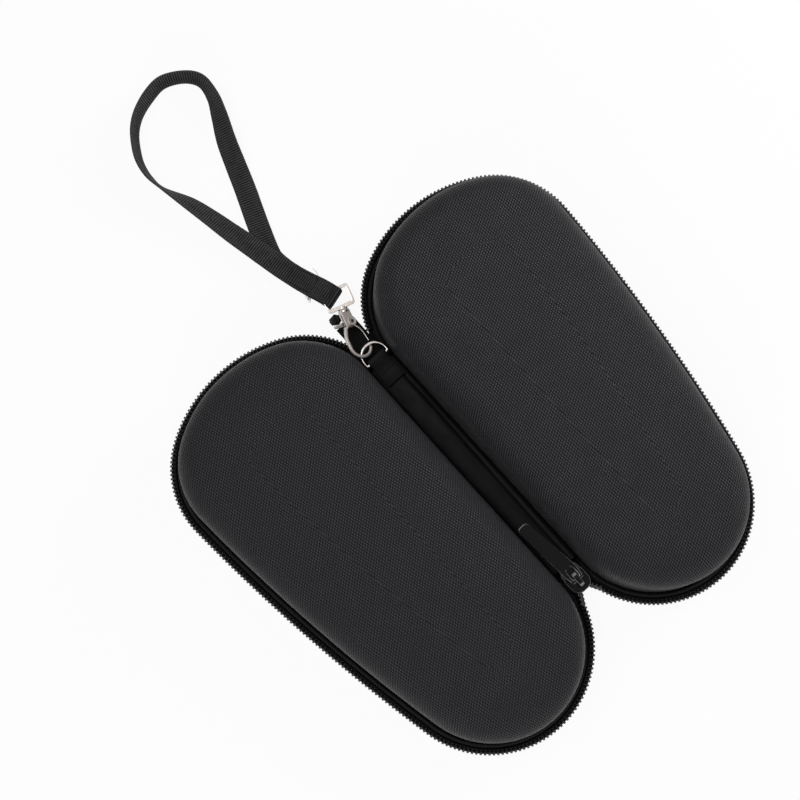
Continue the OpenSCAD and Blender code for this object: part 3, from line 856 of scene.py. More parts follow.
@dataclass(frozen=True)
class Outline:
    """Plan outline of one half as arcs about fixed centres, for the right half."""

    length: float = 210.0
    width: float = 106.0
    hinge_r: float = 42.0
    outer_r: float = 40.5
    end_r: float = 44.7
    crown_r: float = 66.7
    side_r: float = 828.0
    gap: float = 2.0
    zip_wide: float = 76.4
    zip_narrow: float = 74.0
    straight_steps: int = 34

    def arcs(self) -> list[tuple[Flat, float, float, float, int]]:
        """Works out the arcs of the outline.

        Returns:
            The arcs, each as centre, radius, first and last angle, and steps.
        """
        a, b = self.crown_r - self.hinge_r, self.crown_r - self.outer_r
        gap = self.width - self.hinge_r - self.outer_r
        x = (a**2 - b**2 + gap**2) / (2 * gap)
        drop = math.sqrt(a**2 - x**2)
        y = self.length / 2 - self.crown_r + drop
        hinge, outer = (self.gap + self.hinge_r, y), (self.gap + self.width - self.outer_r, y)
        narrow = (self.gap + self.end_r, self.end_r - self.length / 2)
        crown = (hinge[0] + x, y - drop)
        reach = Vector(narrow) - Vector(outer)
        along = ((self.side_r - self.outer_r) ** 2 - (self.side_r - self.end_r) ** 2
                 + reach.length**2) / (2 * reach.length)
        off = math.sqrt((self.side_r - self.outer_r) ** 2 - along**2)
        way = reach.normalized()
        side = tuple(Vector(outer) + way * along + Vector((way.y, -way.x)) * off)
        cuts = (heading(side, narrow), heading(side, outer), heading(crown, outer), heading(crown, hinge))
        return [(narrow, self.end_r, -180.0, cuts[0], 60), (side, self.side_r, cuts[0], cuts[1], 36),
                (outer, self.outer_r, cuts[1], cuts[2], 30),
                (crown, self.crown_r, cuts[2], cuts[3], 16), (hinge, self.hinge_r, cuts[3], 180.0, 44)]

    def ring(self, inset: float) -> Trail:
        """Follows the closed outline.

        Args:
            inset: How far inside it.

        Returns:
            The points, each with its outward direction.
        """
        found = []
        for centre, r, first, last, steps in self.arcs():
            for k in range(steps):
                angle = first + (last - first) * k / steps
                found.append((Vector(polar(centre, r - inset, angle)), Vector(polar((0, 0), 1, angle))))
        low, high = self.arcs()[0][0][1], self.arcs()[4][0][1]
        for k in range(self.straight_steps):
            y = high + (low - high) * k / self.straight_steps
            found.append((Vector((self.gap + inset, y)), Vector((-1, 0))))
        return found

    def zip_line(self, inset: float, step: float, ends: Optional[Flat] = None) -> Trail:
        """Follows the zip's open path in even steps.

        Args:
            inset: How far inside the outline.
            step: About how long a step is.
            ends: How far from the middle it starts and ends, where that is not as usual.

        Returns:
            The points, each with its outward direction.
        """
        arcs = self.arcs()
        narrow, wide = ends or (self.zip_narrow, self.zip_wide)
        low = math.degrees(math.asin((narrow + arcs[0][0][1]) / self.end_r)) - 180
        high = 180 - math.degrees(math.asin((wide - arcs[4][0][1]) / self.hinge_r))
        arcs[0] = (arcs[0][0], arcs[0][1], low, arcs[0][3], 0)
        arcs[4] = (arcs[4][0], arcs[4][1], arcs[4][2], high, 0)
        spans = [math.radians(last - first) * (r - inset) for _, r, first, last, _ in arcs]
        total = sum(spans)
        count = max(2, round(total / step))
        found = []
        for k in range(count + 1):
            rest, i = total * k / count, 0
            while i < 4 and rest > spans[i]:
                rest -= spans[i]
                i += 1
            centre, r, first, last, _ = arcs[i]
            angle = first + (last - first) * min(1.0, rest / spans[i])
            found.append((Vector(polar(centre, r - inset, angle)), Vector(polar((0, 0), 1, angle))))
        return found


@dataclass
class Half:
    """One domed half: cover, foam, lining, piping, tape and teeth."""

    side: Side
    outline: Outline = field(default_factory=Outline)
    height: float = 30.0
    fillet: float = 11.0
    fillet_steps: int = 14
    draft: float = 3.0
    inset: float = 5.1
    shoulder_inset: float = 16.5
    cover_t: float = 0.8
    foam_t: float = 3.0
    lining_t: float = 0.6
    crown: float = 0.7
    seat: float = 0.1
    cover_foot: float = 0.75
    foam_foot: float = 1.2
    lining_foot: float = 1.0
    cover_wobble: float = 0.12
    lining_wobble: float = 0.25
    piping_inset: float = 4.0
    piping_r: float = 1.08
    piping_z: float = 1.85
    piping_foot: float = 0.7
    piping_ends: Flat = (60.3, 61.5)
    tape_pressed: Flat = (-73.5, -55.0)
    tape_ramp: float = 1.5
    tape_thinner: float = 0.6
    tooth_pitch: float = 1.8
    tooth_inset: float = 1.3
    tooth_z: float = 1.78
    tooth_sides: int = 8
    thread_z: float = 2.66

    def __post_init__(self) -> None:
        """Names the half and its body."""
        self.word = self.side.name.lower()
        self.body = f"{self.word}_half"

    def flat(self, place: Vector, z: float) -> Point:
        """Returns a point of the right half's plan on this side."""
        return (place.x * self.side.value, place.y, z)

    def profile(self, depth: float, foot: float) -> list[tuple[float, float, float]]:
        """Works out the dome's section from foot to crown.

        Args:
            depth: How deep under the outer face.
            foot: The height it starts at.

        Returns:
            The points as inset, height and run of the sheet outside the shoulder.
        """
        lean = math.radians(self.draft)
        shoulder = self.height - self.fillet
        knee = shoulder + self.fillet * math.sin(lean)
        middle = self.inset + knee * math.tan(lean) + self.fillet * math.cos(lean)
        r = self.fillet - depth
        arc = []
        for k in range(self.fillet_steps + 1):
            a = -lean + (math.pi / 2 + lean) * k / self.fillet_steps
            arc.append((middle - r * math.cos(a), shoulder + r * math.sin(a) - self.crown,
                        (math.pi / 2 - a) * self.fillet))
        low_in, low_z, low_run = arc[0]
        wall = [(low_in - (low_z - z) * math.tan(lean), z, low_run + low_z - z)
                for z in (foot, foot + 0.5, foot + 2.5, 6, 10, 14.5)]
        top = []
        for inset in (middle + 1.2, middle + 3, middle + 6, middle + 10, middle + 15, 37.0):
            rise = 1 - (1 - (inset - middle) / (38 - middle)) ** 2
            top.append((inset, self.height - depth - self.crown * (1 - rise), -(inset - middle)))
        return wall + arc + top

    def loft(self, shaper: Shaper, sections: Sequence[tuple[float, float, float]],
             wobble: float) -> bmesh.types.BMesh:
        """Lofts sections into a capped dome.

        Args:
            shaper: Makes the pieces.
            sections: Each as inset, height and run.
            wobble: How uneven the dome is.

        Returns:
            The mesh.
        """
        rings = [self.outline.ring(inset) for inset, _, _ in sections]
        rim = self.outline.ring(self.shoulder_inset)
        count = len(rim)

        def spot(i: int, j: int) -> Point:
            """Gives a point of the dome, with the wobble of pressed cloth.

            Args:
                i: The step along.
                j: The section's corner.

            Returns:
                The point.
            """
            place, out = rings[j][i % count]
            _, z, run = sections[j]
            shift = noise.noise(Vector((place.x, place.y, z)) * 0.045) * wobble if run > 0 else 0.0
            return self.flat(place + out * shift, z)

        def spread(i: int, j: int) -> Flat:
            """Gives the UV, which runs down the wall as cloth does.

            Args:
                i: The step along.
                j: The section's corner.

            Returns:
                The UV.
            """
            place, out = rim[i % count]
            flat = place + out * sections[j][2]
            return (flat.x * self.side.value * MM, flat.y * MM)

        bm = shaper.bent(count, len(sections) - 1, spot, spread)
        bmesh.ops.remove_doubles(bm, verts=bm.verts, dist=0.001)
        top = max(v.co.z for v in bm.verts) - 1e-4
        bottom = min(v.co.z for v in bm.verts)
        side = top if abs(sections[-1][1] - top) < 0.01 else bottom
        rims = [e for e in bm.edges if e.is_boundary and abs(e.verts[0].co.z - sections[-1][1]) < 0.01
                and abs(e.verts[0].co.z - side) < 0.5]
        layer = bm.loops.layers.uv.verify()
        for face in bmesh.ops.holes_fill(bm, edges=rims, sides=0)["faces"]:
            for loop in face.loops:
                loop[layer].uv = (loop.vert.co.x * MM, loop.vert.co.y * MM)
        return bm

    def build(self, shaper: Shaper) -> None:
        """Makes the half's pieces.

        Args:
            shaper: Makes the pieces.
        """
        self.shells(shaper)
        self.piping(shaper)
        self.tape(shaper)
        self.teeth(shaper)

    def shells(self, shaper: Shaper) -> None:
        """Makes the cover, the foam's rim and the lining.

        Args:
            shaper: Makes the pieces.
        """
        outer = self.profile(0, self.cover_foot)
        foot_run = outer[0][2]
        folds = ((1.0, 0.95, 1.6), (0.45, 0.6, 0.8), (0.12, 0.62, 0.3))
        lip = [(self.inset + inward, z, foot_run + more) for inward, z, more in folds]
        bm = self.loft(shaper, lip + outer, self.cover_wobble)
        shaper.piece(f"{self.word}_woven_cover", bm, COVERS[self.side], self.body, "woven_nylon",
                     nodes=(f"{self.word}_cover",))
        depth = self.cover_t + self.seat
        foam = self.profile(depth, self.foam_foot)
        inner = self.profile(depth + self.foam_t, self.foam_foot)
        ring = [(inset, z) for inset, z, _ in reversed(foam[:4])]
        ring += [(foam[0][0] + 0.5, 0.85), (inner[0][0] - 0.5, 0.85)]
        ring += [(inset, z) for inset, z, _ in inner[:4]]
        sides = len(ring)
        rings = [self.outline.ring(inset) for inset, _ in ring]
        count = len(rings[0])

        def spot(i: int, j: int) -> Point:
            """Gives a point of the rim."""
            return self.flat(rings[j % sides][i % count][0], ring[j % sides][1])

        bm = shaper.bent(count, sides, spot)
        shaper.piece(f"{self.word}_foam_rim", bm, FOAM, self.body, "foam",
                     nodes=(f"{self.word}_foam_shell",))
        under = self.profile(depth + self.foam_t + self.seat + self.lining_t, self.lining_foot)
        edge = self.profile(depth + self.foam_t + self.seat, self.lining_foot)
        bm = self.loft(shaper, [edge[2], edge[1], (edge[0][0] + 0.2, 0.8, edge[0][2])] + under,
                       self.lining_wobble)
        shaper.piece(f"{self.word}_inner_lining", bm, LINING, self.body, "lining",
                     nodes=(f"{self.word}_lining",))

    def sweep(self, shaper: Shaper, section: Sequence[Flat], step: float,
              bulge: Callable[[float, float], float] = lambda s, z: 0.0,
              ends: Optional[Flat] = None) -> bmesh.types.BMesh:
        """Sweeps a closed section along the zip's path.

        Args:
            shaper: Makes the pieces.
            section: Its points as inset and height.
            step: About how long a step is.
            bulge: Gives a push outwards from the run and the height.
            ends: As for zip_line.

        Returns:
            The mesh.
        """
        steps = len(self.outline.zip_line(section[0][0], step, ends)) - 1
        lines = [self.resample(inset, steps, ends) for inset, _ in section]
        total = sum((lines[0][k + 1][0] - lines[0][k][0]).length for k in range(steps))
        sides = len(section)

        def spot(i: int, j: int) -> Point:
            """Gives a point of the swept section.

            Args:
                i: The step along.
                j: The section's corner.

            Returns:
                The point.
            """
            place, out = lines[j % sides][i]
            z = section[j % sides][1]
            return self.flat(place + out * bulge(i / steps * total, z), z)

        bm = shaper.bent(steps, sides, spot, lambda i, j: (i / steps * total * MM, j * MM))
        return shaper.close(bm)

    def resample(self, inset: float, steps: int, ends: Optional[Flat]) -> Trail:
        """Follows the zip's path in a fixed number of steps.

        Args:
            inset: How far inside the outline.
            steps: How many.
            ends: As for zip_line.

        Returns:
            The points, each with its outward direction.
        """
        base = self.outline.zip_line(0.0, 0.5, ends)
        size = len(base) - 1
        found = []
        for k in range(steps + 1):
            place, out = base[round(size * k / steps)]
            found.append((place - out * inset, out))
        return found

    def piping(self, shaper: Shaper) -> None:
        """Makes the round-topped piping between wall and teeth.

        Args:
            shaper: Makes the pieces.
        """
        middle, r = self.piping_inset, self.piping_r
        dome = [(middle + r * math.cos(a), self.piping_z + r * math.sin(a)) for a in fan(8, math.pi, True)]
        section = [(middle + r, self.piping_foot)] + dome + [(middle - r, self.piping_foot)]

        def uneven(run: float, z: float) -> float:
            """Gives the small push outwards of hand-fed binding."""
            return 0.1 * noise.noise(Vector((run * 0.12, z, 3 * self.side.value)))

        bm = self.sweep(shaper, section, 1.4, uneven, self.piping_ends)
        shaper.piece(f"{self.word}_bound_piping", bm, PIPING, self.body, "piping",
                     nodes=(f"{self.word}_piping",))

    def tape(self, shaper: Shaper) -> None:
        """Makes the zip's tape with rolled edges.

        Args:
            shaper: Makes the pieces.
        """
        section = [(6.15, 0.2), (6.0, 0.02), (3.5, 0.0), (0.85, 0.02), (0.65, 0.2), (0.65, 0.42),
                   (0.85, 0.56), (3.5, 0.6), (6.0, 0.56), (6.15, 0.42)]
        lines = [self.outline.ring(inset) for inset, _ in section]
        count, sides = len(lines[0]), len(section)
        front, back = self.tape_pressed

        def spot(i: int, j: int) -> Point:
            """Gives a point of the tape, which the slider presses thinner.

            Args:
                i: The step along.
                j: The section's corner.

            Returns:
                The point.
            """
            place, _ = lines[j % sides][i % count]
            near = place.x < 12
            pressed = max(0.0, min(1.0, (place.y - front) / self.tape_ramp,
                                   (back - place.y) / self.tape_ramp)) if near else 0.0
            return self.flat(place, section[j % sides][1] * (1 - self.tape_thinner * pressed))

        bm = shaper.bent(count, sides, spot, lambda i, j: (i * 1.6 * MM, j * MM))
        shaper.piece(f"{self.word}_woven_tape", bm, TAPE, self.body, "zip_tape",
                     nodes=(f"{self.word}_zip_tape",))

    def teeth(self, shaper: Shaper) -> None:
        """Makes the row of coil teeth and the thread that holds them.

        Args:
            shaper: Makes the pieces.
        """
        spots = self.outline.zip_line(self.tooth_inset, self.tooth_pitch)
        sides = self.tooth_sides
        stations = [(2.55, 0.22, 0.5), (2.35, 0.46, 0.85), (1.5, 0.5, 1.0), (0.7, 0.5, 1.0),
                    (0.3, 0.58, 1.0), (-0.05, 0.5, 0.8), (-0.2, 0.26, 0.45)]
        turns = [math.pi * (2 * k + 1) / sides for k in range(sides)]
        corners = [(math.cos(a) * (1 if abs(math.cos(a)) > 0.5 else 1.25), math.sin(a)) for a in turns]
        bm = bmesh.new()
        for place, out in spots:
            along = Vector((-out.y, out.x))

            def spot(i: int, j: int) -> Point:
                """Gives a point of the tooth.

                Args:
                    i: The step along.
                    j: The section's corner.

                Returns:
                    The point.
                """
                inset, half_w, half_h = stations[i]
                a, b = corners[j % sides]
                flat = place + out * (self.tooth_inset - inset) + along * (a * half_w)
                return self.flat(flat, self.tooth_z + b * half_h)

            shaper.merge(bm, shaper.close(shaper.bent(len(stations) - 1, sides, spot)))
        shaper.piece(f"{self.word}_teeth", bm, TEETH, self.body, "zip_coil", crease=60,
                     nodes=(f"{self.word}_zip_coil",))
        section = [(1.32 + 0.95 * math.cos(a), 1.7 + 0.72 * math.sin(a)) for a in fan(10)]
        shaper.piece(f"{self.word}_coil_core", self.sweep(shaper, section, self.tooth_pitch), TAPE,
                     self.body, "zip_coil")
        for name, inset in (("inner", 2.25), ("outer", 1.35)):
            section = [(inset + 0.28 * math.cos(a), self.thread_z + 0.2 * math.sin(a)) for a in fan(6)]
            thread = self.sweep(shaper, section, self.tooth_pitch)
            shaper.piece(f"{self.word}_{name}_thread", thread, THREAD, self.body, "zip_tape")


@dataclass
class Inside:
    """What the halves hold inside: a net pocket, its elastic hem and an elastic band."""

    outline: Outline = field(default_factory=Outline)
    inset: float = 10.8
    level: float = 3.05
    net_top: float = 6.6
    net_rows: int = 40
    net_columns: int = 28
    hem_y: float = 8.0
    hem_r: float = 1.25
    band_w: float = 24.8
    band_gap: float = 0.5
    steps: int = 60

    def edges(self, y: float) -> Flat:
        """Finds the inner limits of the right half.

        Args:
            y: Where across.

        Returns:
            The lowest and highest X.
        """
        places = [p for p, _ in self.outline.ring(self.inset)]
        cuts = []
        for k, here in enumerate(places):
            after = places[(k + 1) % len(places)]
            if (here.y - y) * (after.y - y) <= 0 and here.y != after.y:
                cuts.append(here.x + (after.x - here.x) * (y - here.y) / (after.y - here.y))
        return (min(cuts), max(cuts))

    def build(self, shaper: Shaper) -> None:
        """Makes the three pieces."""
        self.pocket(shaper)
        self.band(shaper)

    def pocket(self, shaper: Shaper) -> None:
        """Makes the net pocket and its hem.

        Args:
            shaper: Makes the pieces.
        """
        bottom, top = min(p.y for p, _ in self.outline.ring(self.inset)) + 0.4, self.net_top
        rows, columns = self.net_rows, self.net_columns

        def net(i: int, j: int) -> Point:
            """Gives a point of the slightly sagging net.

            Args:
                i: The row.
                j: The column.

            Returns:
                The point.
            """
            y = bottom + (top - bottom) * i / rows
            a, b = self.edges(y)
            share = j / columns
            sag = 0.5 * math.sin(math.pi * share) * math.sin(math.pi * i / rows)
            return (-(a + (b - a) * share), y, self.level - sag * 0.4)

        bm = shaper.bent(rows, columns, net, lambda i, j: ((i / rows) * 0.1, (j / columns) * 0.085))
        area = sum(f.calc_area() for f in bm.faces) * MM * MM
        wide = self.edges(top)
        pocket = shaper.piece("net_pocket", bm, NET, "left_half", "mesh", nodes=("mesh_pocket",))
        line = [Vector((-(wide[0] + (wide[1] - wide[0]) * k / self.steps), self.hem_y, self.level))
                for k in range(self.steps + 1)]

        def gathered(t: float, j: int) -> Flat:
            """Gives a corner of the hem's section, gathered by its elastic."""
            r = self.hem_r - 0.12 * math.cos(t * 180)
            return (r * math.cos(math.pi * j / 5), r * math.sin(math.pi * j / 5))

        shaper.piece("pocket_hem", shaper.tube(line, gathered, 10), ELASTIC, "left_half", "elastic",
                     nodes=("pocket_elastic",))

    def band(self, shaper: Shaper) -> None:
        """Makes the elastic band across the other half.

        Args:
            shaper: Makes the pieces.
        """
        left, right = self.edges(0.0)
        reach = right - left - 2 * self.band_gap
        edge, bend = self.band_w / 2, self.band_w / 2 - 0.6
        section = [(-edge, 2.9), (-bend, 2.72), (0, 2.7), (bend, 2.72), (edge, 2.9), (edge, 3.5),
                   (bend, 3.68), (0, 3.74), (-bend, 3.68), (-edge, 3.5)]
        sides = len(section)

        def spot(i: int, j: int) -> Point:
            """Gives a point of the ribbed band."""
            y, z = section[j % sides]
            return (left + self.band_gap + reach * i / self.steps, y, z + 0.05 * math.cos(i * math.pi))

        def spread(i: int, j: int) -> Flat:
            """Gives the UV along and across the band."""
            return ((right - left) * i / self.steps * MM, j * 0.004)

        bm = shaper.close(shaper.bent(self.steps, sides, spot, spread))
        strip = shaper.piece("elastic_strip", bm, ELASTIC, "right_half", "elastic", nodes=("elastic_band",))


@dataclass
class Spine:
    """The flexible strip between the halves, its tabs and its lining."""

    half_w: float = 7.0
    low: float = 1.95
    top: float = 3.05
    narrow: float = -56.6
    wide: float = 60.4
    rows: int = 110
    columns: int = 26
    tab_w: float = 9.4
    tab_columns: int = 16
    ring_y: float = 63.2
    ring_z: float = 4.9
    stitch_y: float = 56.5
    grab_half: float = 4.85
    grab_from: float = 48.8
    grab_l: float = 36.1
    grab_rows: int = 64
    strand_x: float = 2.75
    fork_y: float = -69.5
    fork_slope: float = 0.56
    fork_turn: float = 29.0
    tooth_pitch: float = 1.55
    teeth: int = 9

    def surface(self, x: float, y: float) -> float:
        """Works out the strip's top: a soft bulge with a groove and creases.

        Args:
            x: The place across.
            y: The place along.

        Returns:
            The height.
        """
        share = abs(x) / self.half_w
        bulge = 0.75 * max(0.0, math.cos((x - 0.7) / (self.half_w + 0.7) * math.pi / 2)) ** 0.8
        groove = -0.4 * math.exp(-(((x - 4.1 - 0.25 * math.sin(y * 0.05)) / 0.8) ** 2))
        crease = noise.noise(Vector((x * 0.16, y * 0.03, 4.0))) * 0.35 + noise.noise(
            Vector((x * 0.5, y * 0.12, 9.0))) * 0.06
        return self.top + bulge + groove + crease * (1 - min(1.0, share) ** 4)

    def build(self, shaper: Shaper) -> None:
        """Makes the strip, its lining and the two tabs.

        Args:
            shaper: Makes the pieces.
        """
        across = self.columns

        def spot(i: int, j: int) -> Point:
            """Gives a point of the strip.

            Args:
                i: The step along.
                j: The section's corner.

            Returns:
                The point.
            """
            y = self.narrow + (self.wide - self.narrow) * i / self.rows
            if j <= across:
                x = -self.half_w + 2 * self.half_w * j / across
                edge = 1 - abs(x / self.half_w) ** 8
                return (x, y, self.low + 0.5 + (self.surface(x, y) - self.low - 0.5) * edge)
            x = self.half_w - 2 * self.half_w * (j - across - 1) / 3
            return (x, y, self.low)

        sides = across + 5
        bm = shaper.close(shaper.bent(self.rows, sides, lambda i, j: spot(i, j % sides)))
        shaper.piece("spine_strip", bm, SPINE, "spine", "leatherette",
                     nodes=("spine_cover", "spine_lining"))
        self.ring_tab(shaper)
        self.grab_tab(shaper)
        self.chain(shaper)

    def strand(self, y: float) -> float:
        """Returns how far a strand of the zip lies from the middle, more where it forks off."""
        return self.strand_x + max(0.0, (self.fork_y - y) * self.fork_slope)

    def chain(self, shaper: Shaper) -> None:
        """Makes the teeth that run into the slider from both sides.

        Args:
            shaper: Makes the pieces.
        """
        bm = bmesh.new()
        tooth = [(-1.15, -0.46), (1.15, -0.4), (1.15, 0.4), (-1.15, 0.46)]
        for side in (-1, 1):
            flip = Matrix.Scale(side, 4, (1, 0, 0))
            for k in range(self.teeth):
                y = -73.5 + self.tooth_pitch * k
                turn = Matrix.Rotation(math.radians(self.fork_turn if y < self.fork_y else 0), 4, "Z")
                shaper.merge(bm, shaper.plate(tooth, 1.65, 3.2, 0.24),
                             flip @ Matrix.Translation((self.strand(y), y, 0)) @ turn)
            cord = [Vector((side * self.strand(y), y, 2.3)) for y in (-74.4, -72, -69.5, -66, -62, -58)]
            shaper.strand(cord, 1.0, 0.7, 8, into=bm)
        shaper.piece("slider_chain", bm, TEETH, "spine", "zip_coil", crease=60, nodes=("chain_end",))

    def ring_tab(self, shaper: Shaper) -> None:
        """Makes the folded tab that holds the ring.

        Args:
            shaper: Makes the pieces.
        """
        half = self.tab_w / 2
        section = [(50.4, 3.3), (50.2, 3.9), (50.6, 4.75), (52, 5.1), (56, 5.22), (57.6, 5.1),
                   (59.5, 5.75), (61.5, 6.55)]
        section += [(self.ring_y + 2.05 * math.sin(a), self.ring_z + 2.05 * math.cos(a))
                    for a in fan(10, math.pi, True)]
        section += [(61.0, 3.25), (56, 3.2), (52, 3.2)]
        sides, last = len(section), self.tab_columns

        def spot(i: int, j: int) -> Point:
            """Gives a point of the tab, with its edges pressed in.

            Args:
                i: The step along.
                j: The section's corner.

            Returns:
                The point.
            """
            y, z = section[j % sides]
            share = i / last * 2 - 1
            edge = 1 - abs(share) ** 6 * 0.12
            return (half * share * (1 if 0 < i < last else 0.985), y,
                    4.2 + (z - 4.2) * edge - 0.05 * noise.noise(Vector((share * 3, y * 0.4, 1))))

        bm = shaper.close(shaper.bent(last, sides, spot))
        shaper.piece("ring_strap_tab", bm, TAB, "spine", "leatherette", nodes=("ring_tab",))
        bm = bmesh.new()
        for k in range(7):
            x = -3.6 + 1.2 * k
            line = [Vector((x + 0.38 * (m - 2) / 2 * 1.2, self.stitch_y, 5.24 - 0.1 * abs(m - 2) / 2))
                    for m in range(5)]
            shaper.strand(line, 0.15, 0.11, 6, into=bm)
        shaper.piece("ring_tab_stitches", bm, THREAD, "spine", "leatherette")

    def grab_tab(self, shaper: Shaper) -> None:
        """Makes the ribbed webbing tab under the spine's wide end.

        Args:
            shaper: Makes the pieces.
        """
        half, reach, rows = self.grab_half, self.grab_l, self.grab_rows
        section = [(-half, 1.1), (-half + 0.3, 0.82), (0, 0.8), (half - 0.3, 0.82), (half, 1.1),
                   (half, 1.5), (half - 0.3, 1.78), (half - 1, 1.8), (0, 1.82), (1 - half, 1.8),
                   (0.3 - half, 1.78), (-half, 1.5)]
        sides = len(section)

        def spot(i: int, j: int) -> Point:
            """Gives a point of the ribbed tab.

            Args:
                i: The step along.
                j: The section's corner.

            Returns:
                The point.
            """
            x, z = section[j % sides]
            rib = 0.06 * math.cos(i * math.pi) if abs(x) < half - 0.5 else 0
            return (x, self.grab_from + reach * i / rows, z + (rib if z > 1.3 else -rib))

        def spread(i: int, j: int) -> Flat:
            """Gives the UV along and across the tab."""
            return (reach * i / rows * MM, section[j % sides][0] * MM)

        bm = shaper.close(shaper.bent(rows, sides, spot, spread))
        shaper.piece("grab_webbing_tab", bm, GRAB, "spine", "webbing", nodes=("grab_tab",))


@dataclass
class Slider:
    """The slider with its bridge and its flat puller."""

    back: float = -57.0
    length: float = 13.0
    width: float = 9.6
    throat_in: float = 0.6
    corner: Flat = (3.6, 4.2)
    lower: Flat = (0.3, 1.3)
    upper: Flat = (3.7, 4.7)
    flanges: tuple[Flat, Flat] = ((3.2, 3.9), (1.1, 1.8))
    pivot: Flat = (-64.4, 6.15)
    arch_half: float = 1.08
    arch_soft: float = 0.2
    dip: float = 4.0
    puller_l: float = 32.5
    puller_half: float = 0.66
    rod_half: float = 2.7
    lean: float = 1.5

    def outline(self) -> list[Flat]:
        """Works out the plate's outline: a throat behind and wide shoulders in front.

        Returns:
            The points.
        """
        shoulder = self.width / 2
        throat = shoulder - self.throat_in
        front, back = self.back - self.length, self.back
        wide, deep = self.corner
        right = [(throat - 2, back), (throat - 0.6, back - 0.6), (throat, back - 2),
                 (throat + 0.1, back - 3.6), (shoulder, back - 5.4), (shoulder, front + deep)]
        right += [(shoulder - wide + wide * math.cos(a), front + deep - deep * math.sin(a))
                  for a in fan(8, math.pi / 2, True)[1:]]
        return mirrored(right)

    def build(self, shaper: Shaper) -> None:
        """Makes the slider's plates, the bridge and the puller.

        Args:
            shaper: Makes the pieces.
        """
        bm = bmesh.new()
        shaper.merge(bm, shaper.plate(self.outline(), *self.lower, 0.3))
        shaper.merge(bm, shaper.plate(self.outline(), *self.upper, 0.49, 4))
        shaper.merge(bm, shaper.plate([(-0.9, -66.8), (0.9, -66.8), (0.9, -69.4), (-0.9, -69.4)], 1.25,
                                      3.75, 0.2))
        for side in (-1, 1):
            rim = [(side * x, y) for x, y in ((3.9, -59.6), (4.5, -59.6), (4.5, -65.4), (3.9, -65.4))]
            for low, high in self.flanges:
                shaper.merge(bm, shaper.plate(rim, low, high, 0.15))
        # The rounded upper edges of the plates, arch and puller carry a painted highlight with edge wear.
        shaper.piece("slider_plates", bm, ENAMEL, "slider", "slider", crease=40, nodes=("slider_body",),
                     edge=EDGE_WEAR_AND_HIGHLIGHT)
        shaper.piece("slider_arch", self.arch(shaper), ENAMEL, "slider", "slider", crease=40,
                     nodes=("slider_bridge",), edge=EDGE_WEAR_AND_HIGHLIGHT)
        self.puller(shaper)

    def arch(self, shaper: Shaper) -> bmesh.types.BMesh:
        """Makes the bridge as a flat band bent over the pivot.

        Args:
            shaper: Makes the pieces.

        Returns:
            The mesh.
        """
        outer = mirrored([(-3.25, 4.6), (-3.25, 6.7), (-2.9, 7.5), (-2.1, 7.98), (0, 8.1)])
        inner = mirrored([(-2.15, 4.6), (-2.15, 6.4), (-1.95, 6.8), (-1.5, 7.05), (0, 7.15)])
        half, soft = self.arch_half, self.arch_soft

        def spot(i: int, j: int) -> Point:
            """Gives a point of the band, with its four edges rounded.

            Args:
                i: The step along.
                j: The section's corner.

            Returns:
                The point.
            """
            far, near = Vector(outer[i]), Vector(inner[i])
            step = (far - near).normalized() * soft
            place = (far - step, far, far, far - step, near + step, near, near, near + step)[j % 8]
            x = (half, half - soft, soft - half, -half, -half, soft - half, half - soft, half)[j % 8]
            return (x, self.pivot[0] + place.x, place.y)

        return shaper.close(shaper.bent(8, 8, spot))

    def puller(self, shaper: Shaper) -> None:
        """Makes the flat puller with its window and its turned bar.

        Args:
            shaper: Makes the pieces.
        """
        outer = [(2.6, -0.2), (3.1, 0.6), (3.6, 3.6), (3.68, 5.5), (3.6, 7.4), (2.75, 18), (1.95, 29.6),
                 (1.7, 31.2), (1.1, 32.1), (0.2, 32.5),
                 (-2.2, 32.5), (-3.1, 32.1), (-3.7, 31.2), (-3.85, 29.6), (-3.75, 18), (-3.6, 7.4),
                 (-3.68, 5.5), (-3.6, 3.6), (-3.1, 0.6), (-2.6, -0.2)]
        inner = mirrored([(1.5, 0.9), (1.62, 1.3), (1.7, 2.6), (1.7, 3.6), (1.7, 4.6), (1.65, 5.2),
                          (1.5, 5.6), (1.2, 5.8), (0.8, 5.85), (0.3, 5.88)])
        outer = [(x - self.lean * y / self.puller_l, y) for x, y in outer]
        bm = shaper.frame(outer, inner, self.puller_half, 0.5)
        line = [Vector((self.rod_half * (k / 3 - 1), 0.1, 0)) for k in range(7)]
        shaper.strand(line, self.puller_half, self.puller_half, 12, into=bm)
        lean = Matrix.Translation((0, self.pivot[0], self.pivot[1])) @ Matrix.Rotation(
            math.radians(-self.dip), 4, "X")
        bmesh.ops.transform(bm, matrix=lean, verts=bm.verts)
        shaper.piece("flat_puller", bm, ENAMEL, "puller", "slider", crease=40, nodes=("zip_puller",),
                     edge=EDGE_WEAR_AND_HIGHLIGHT)


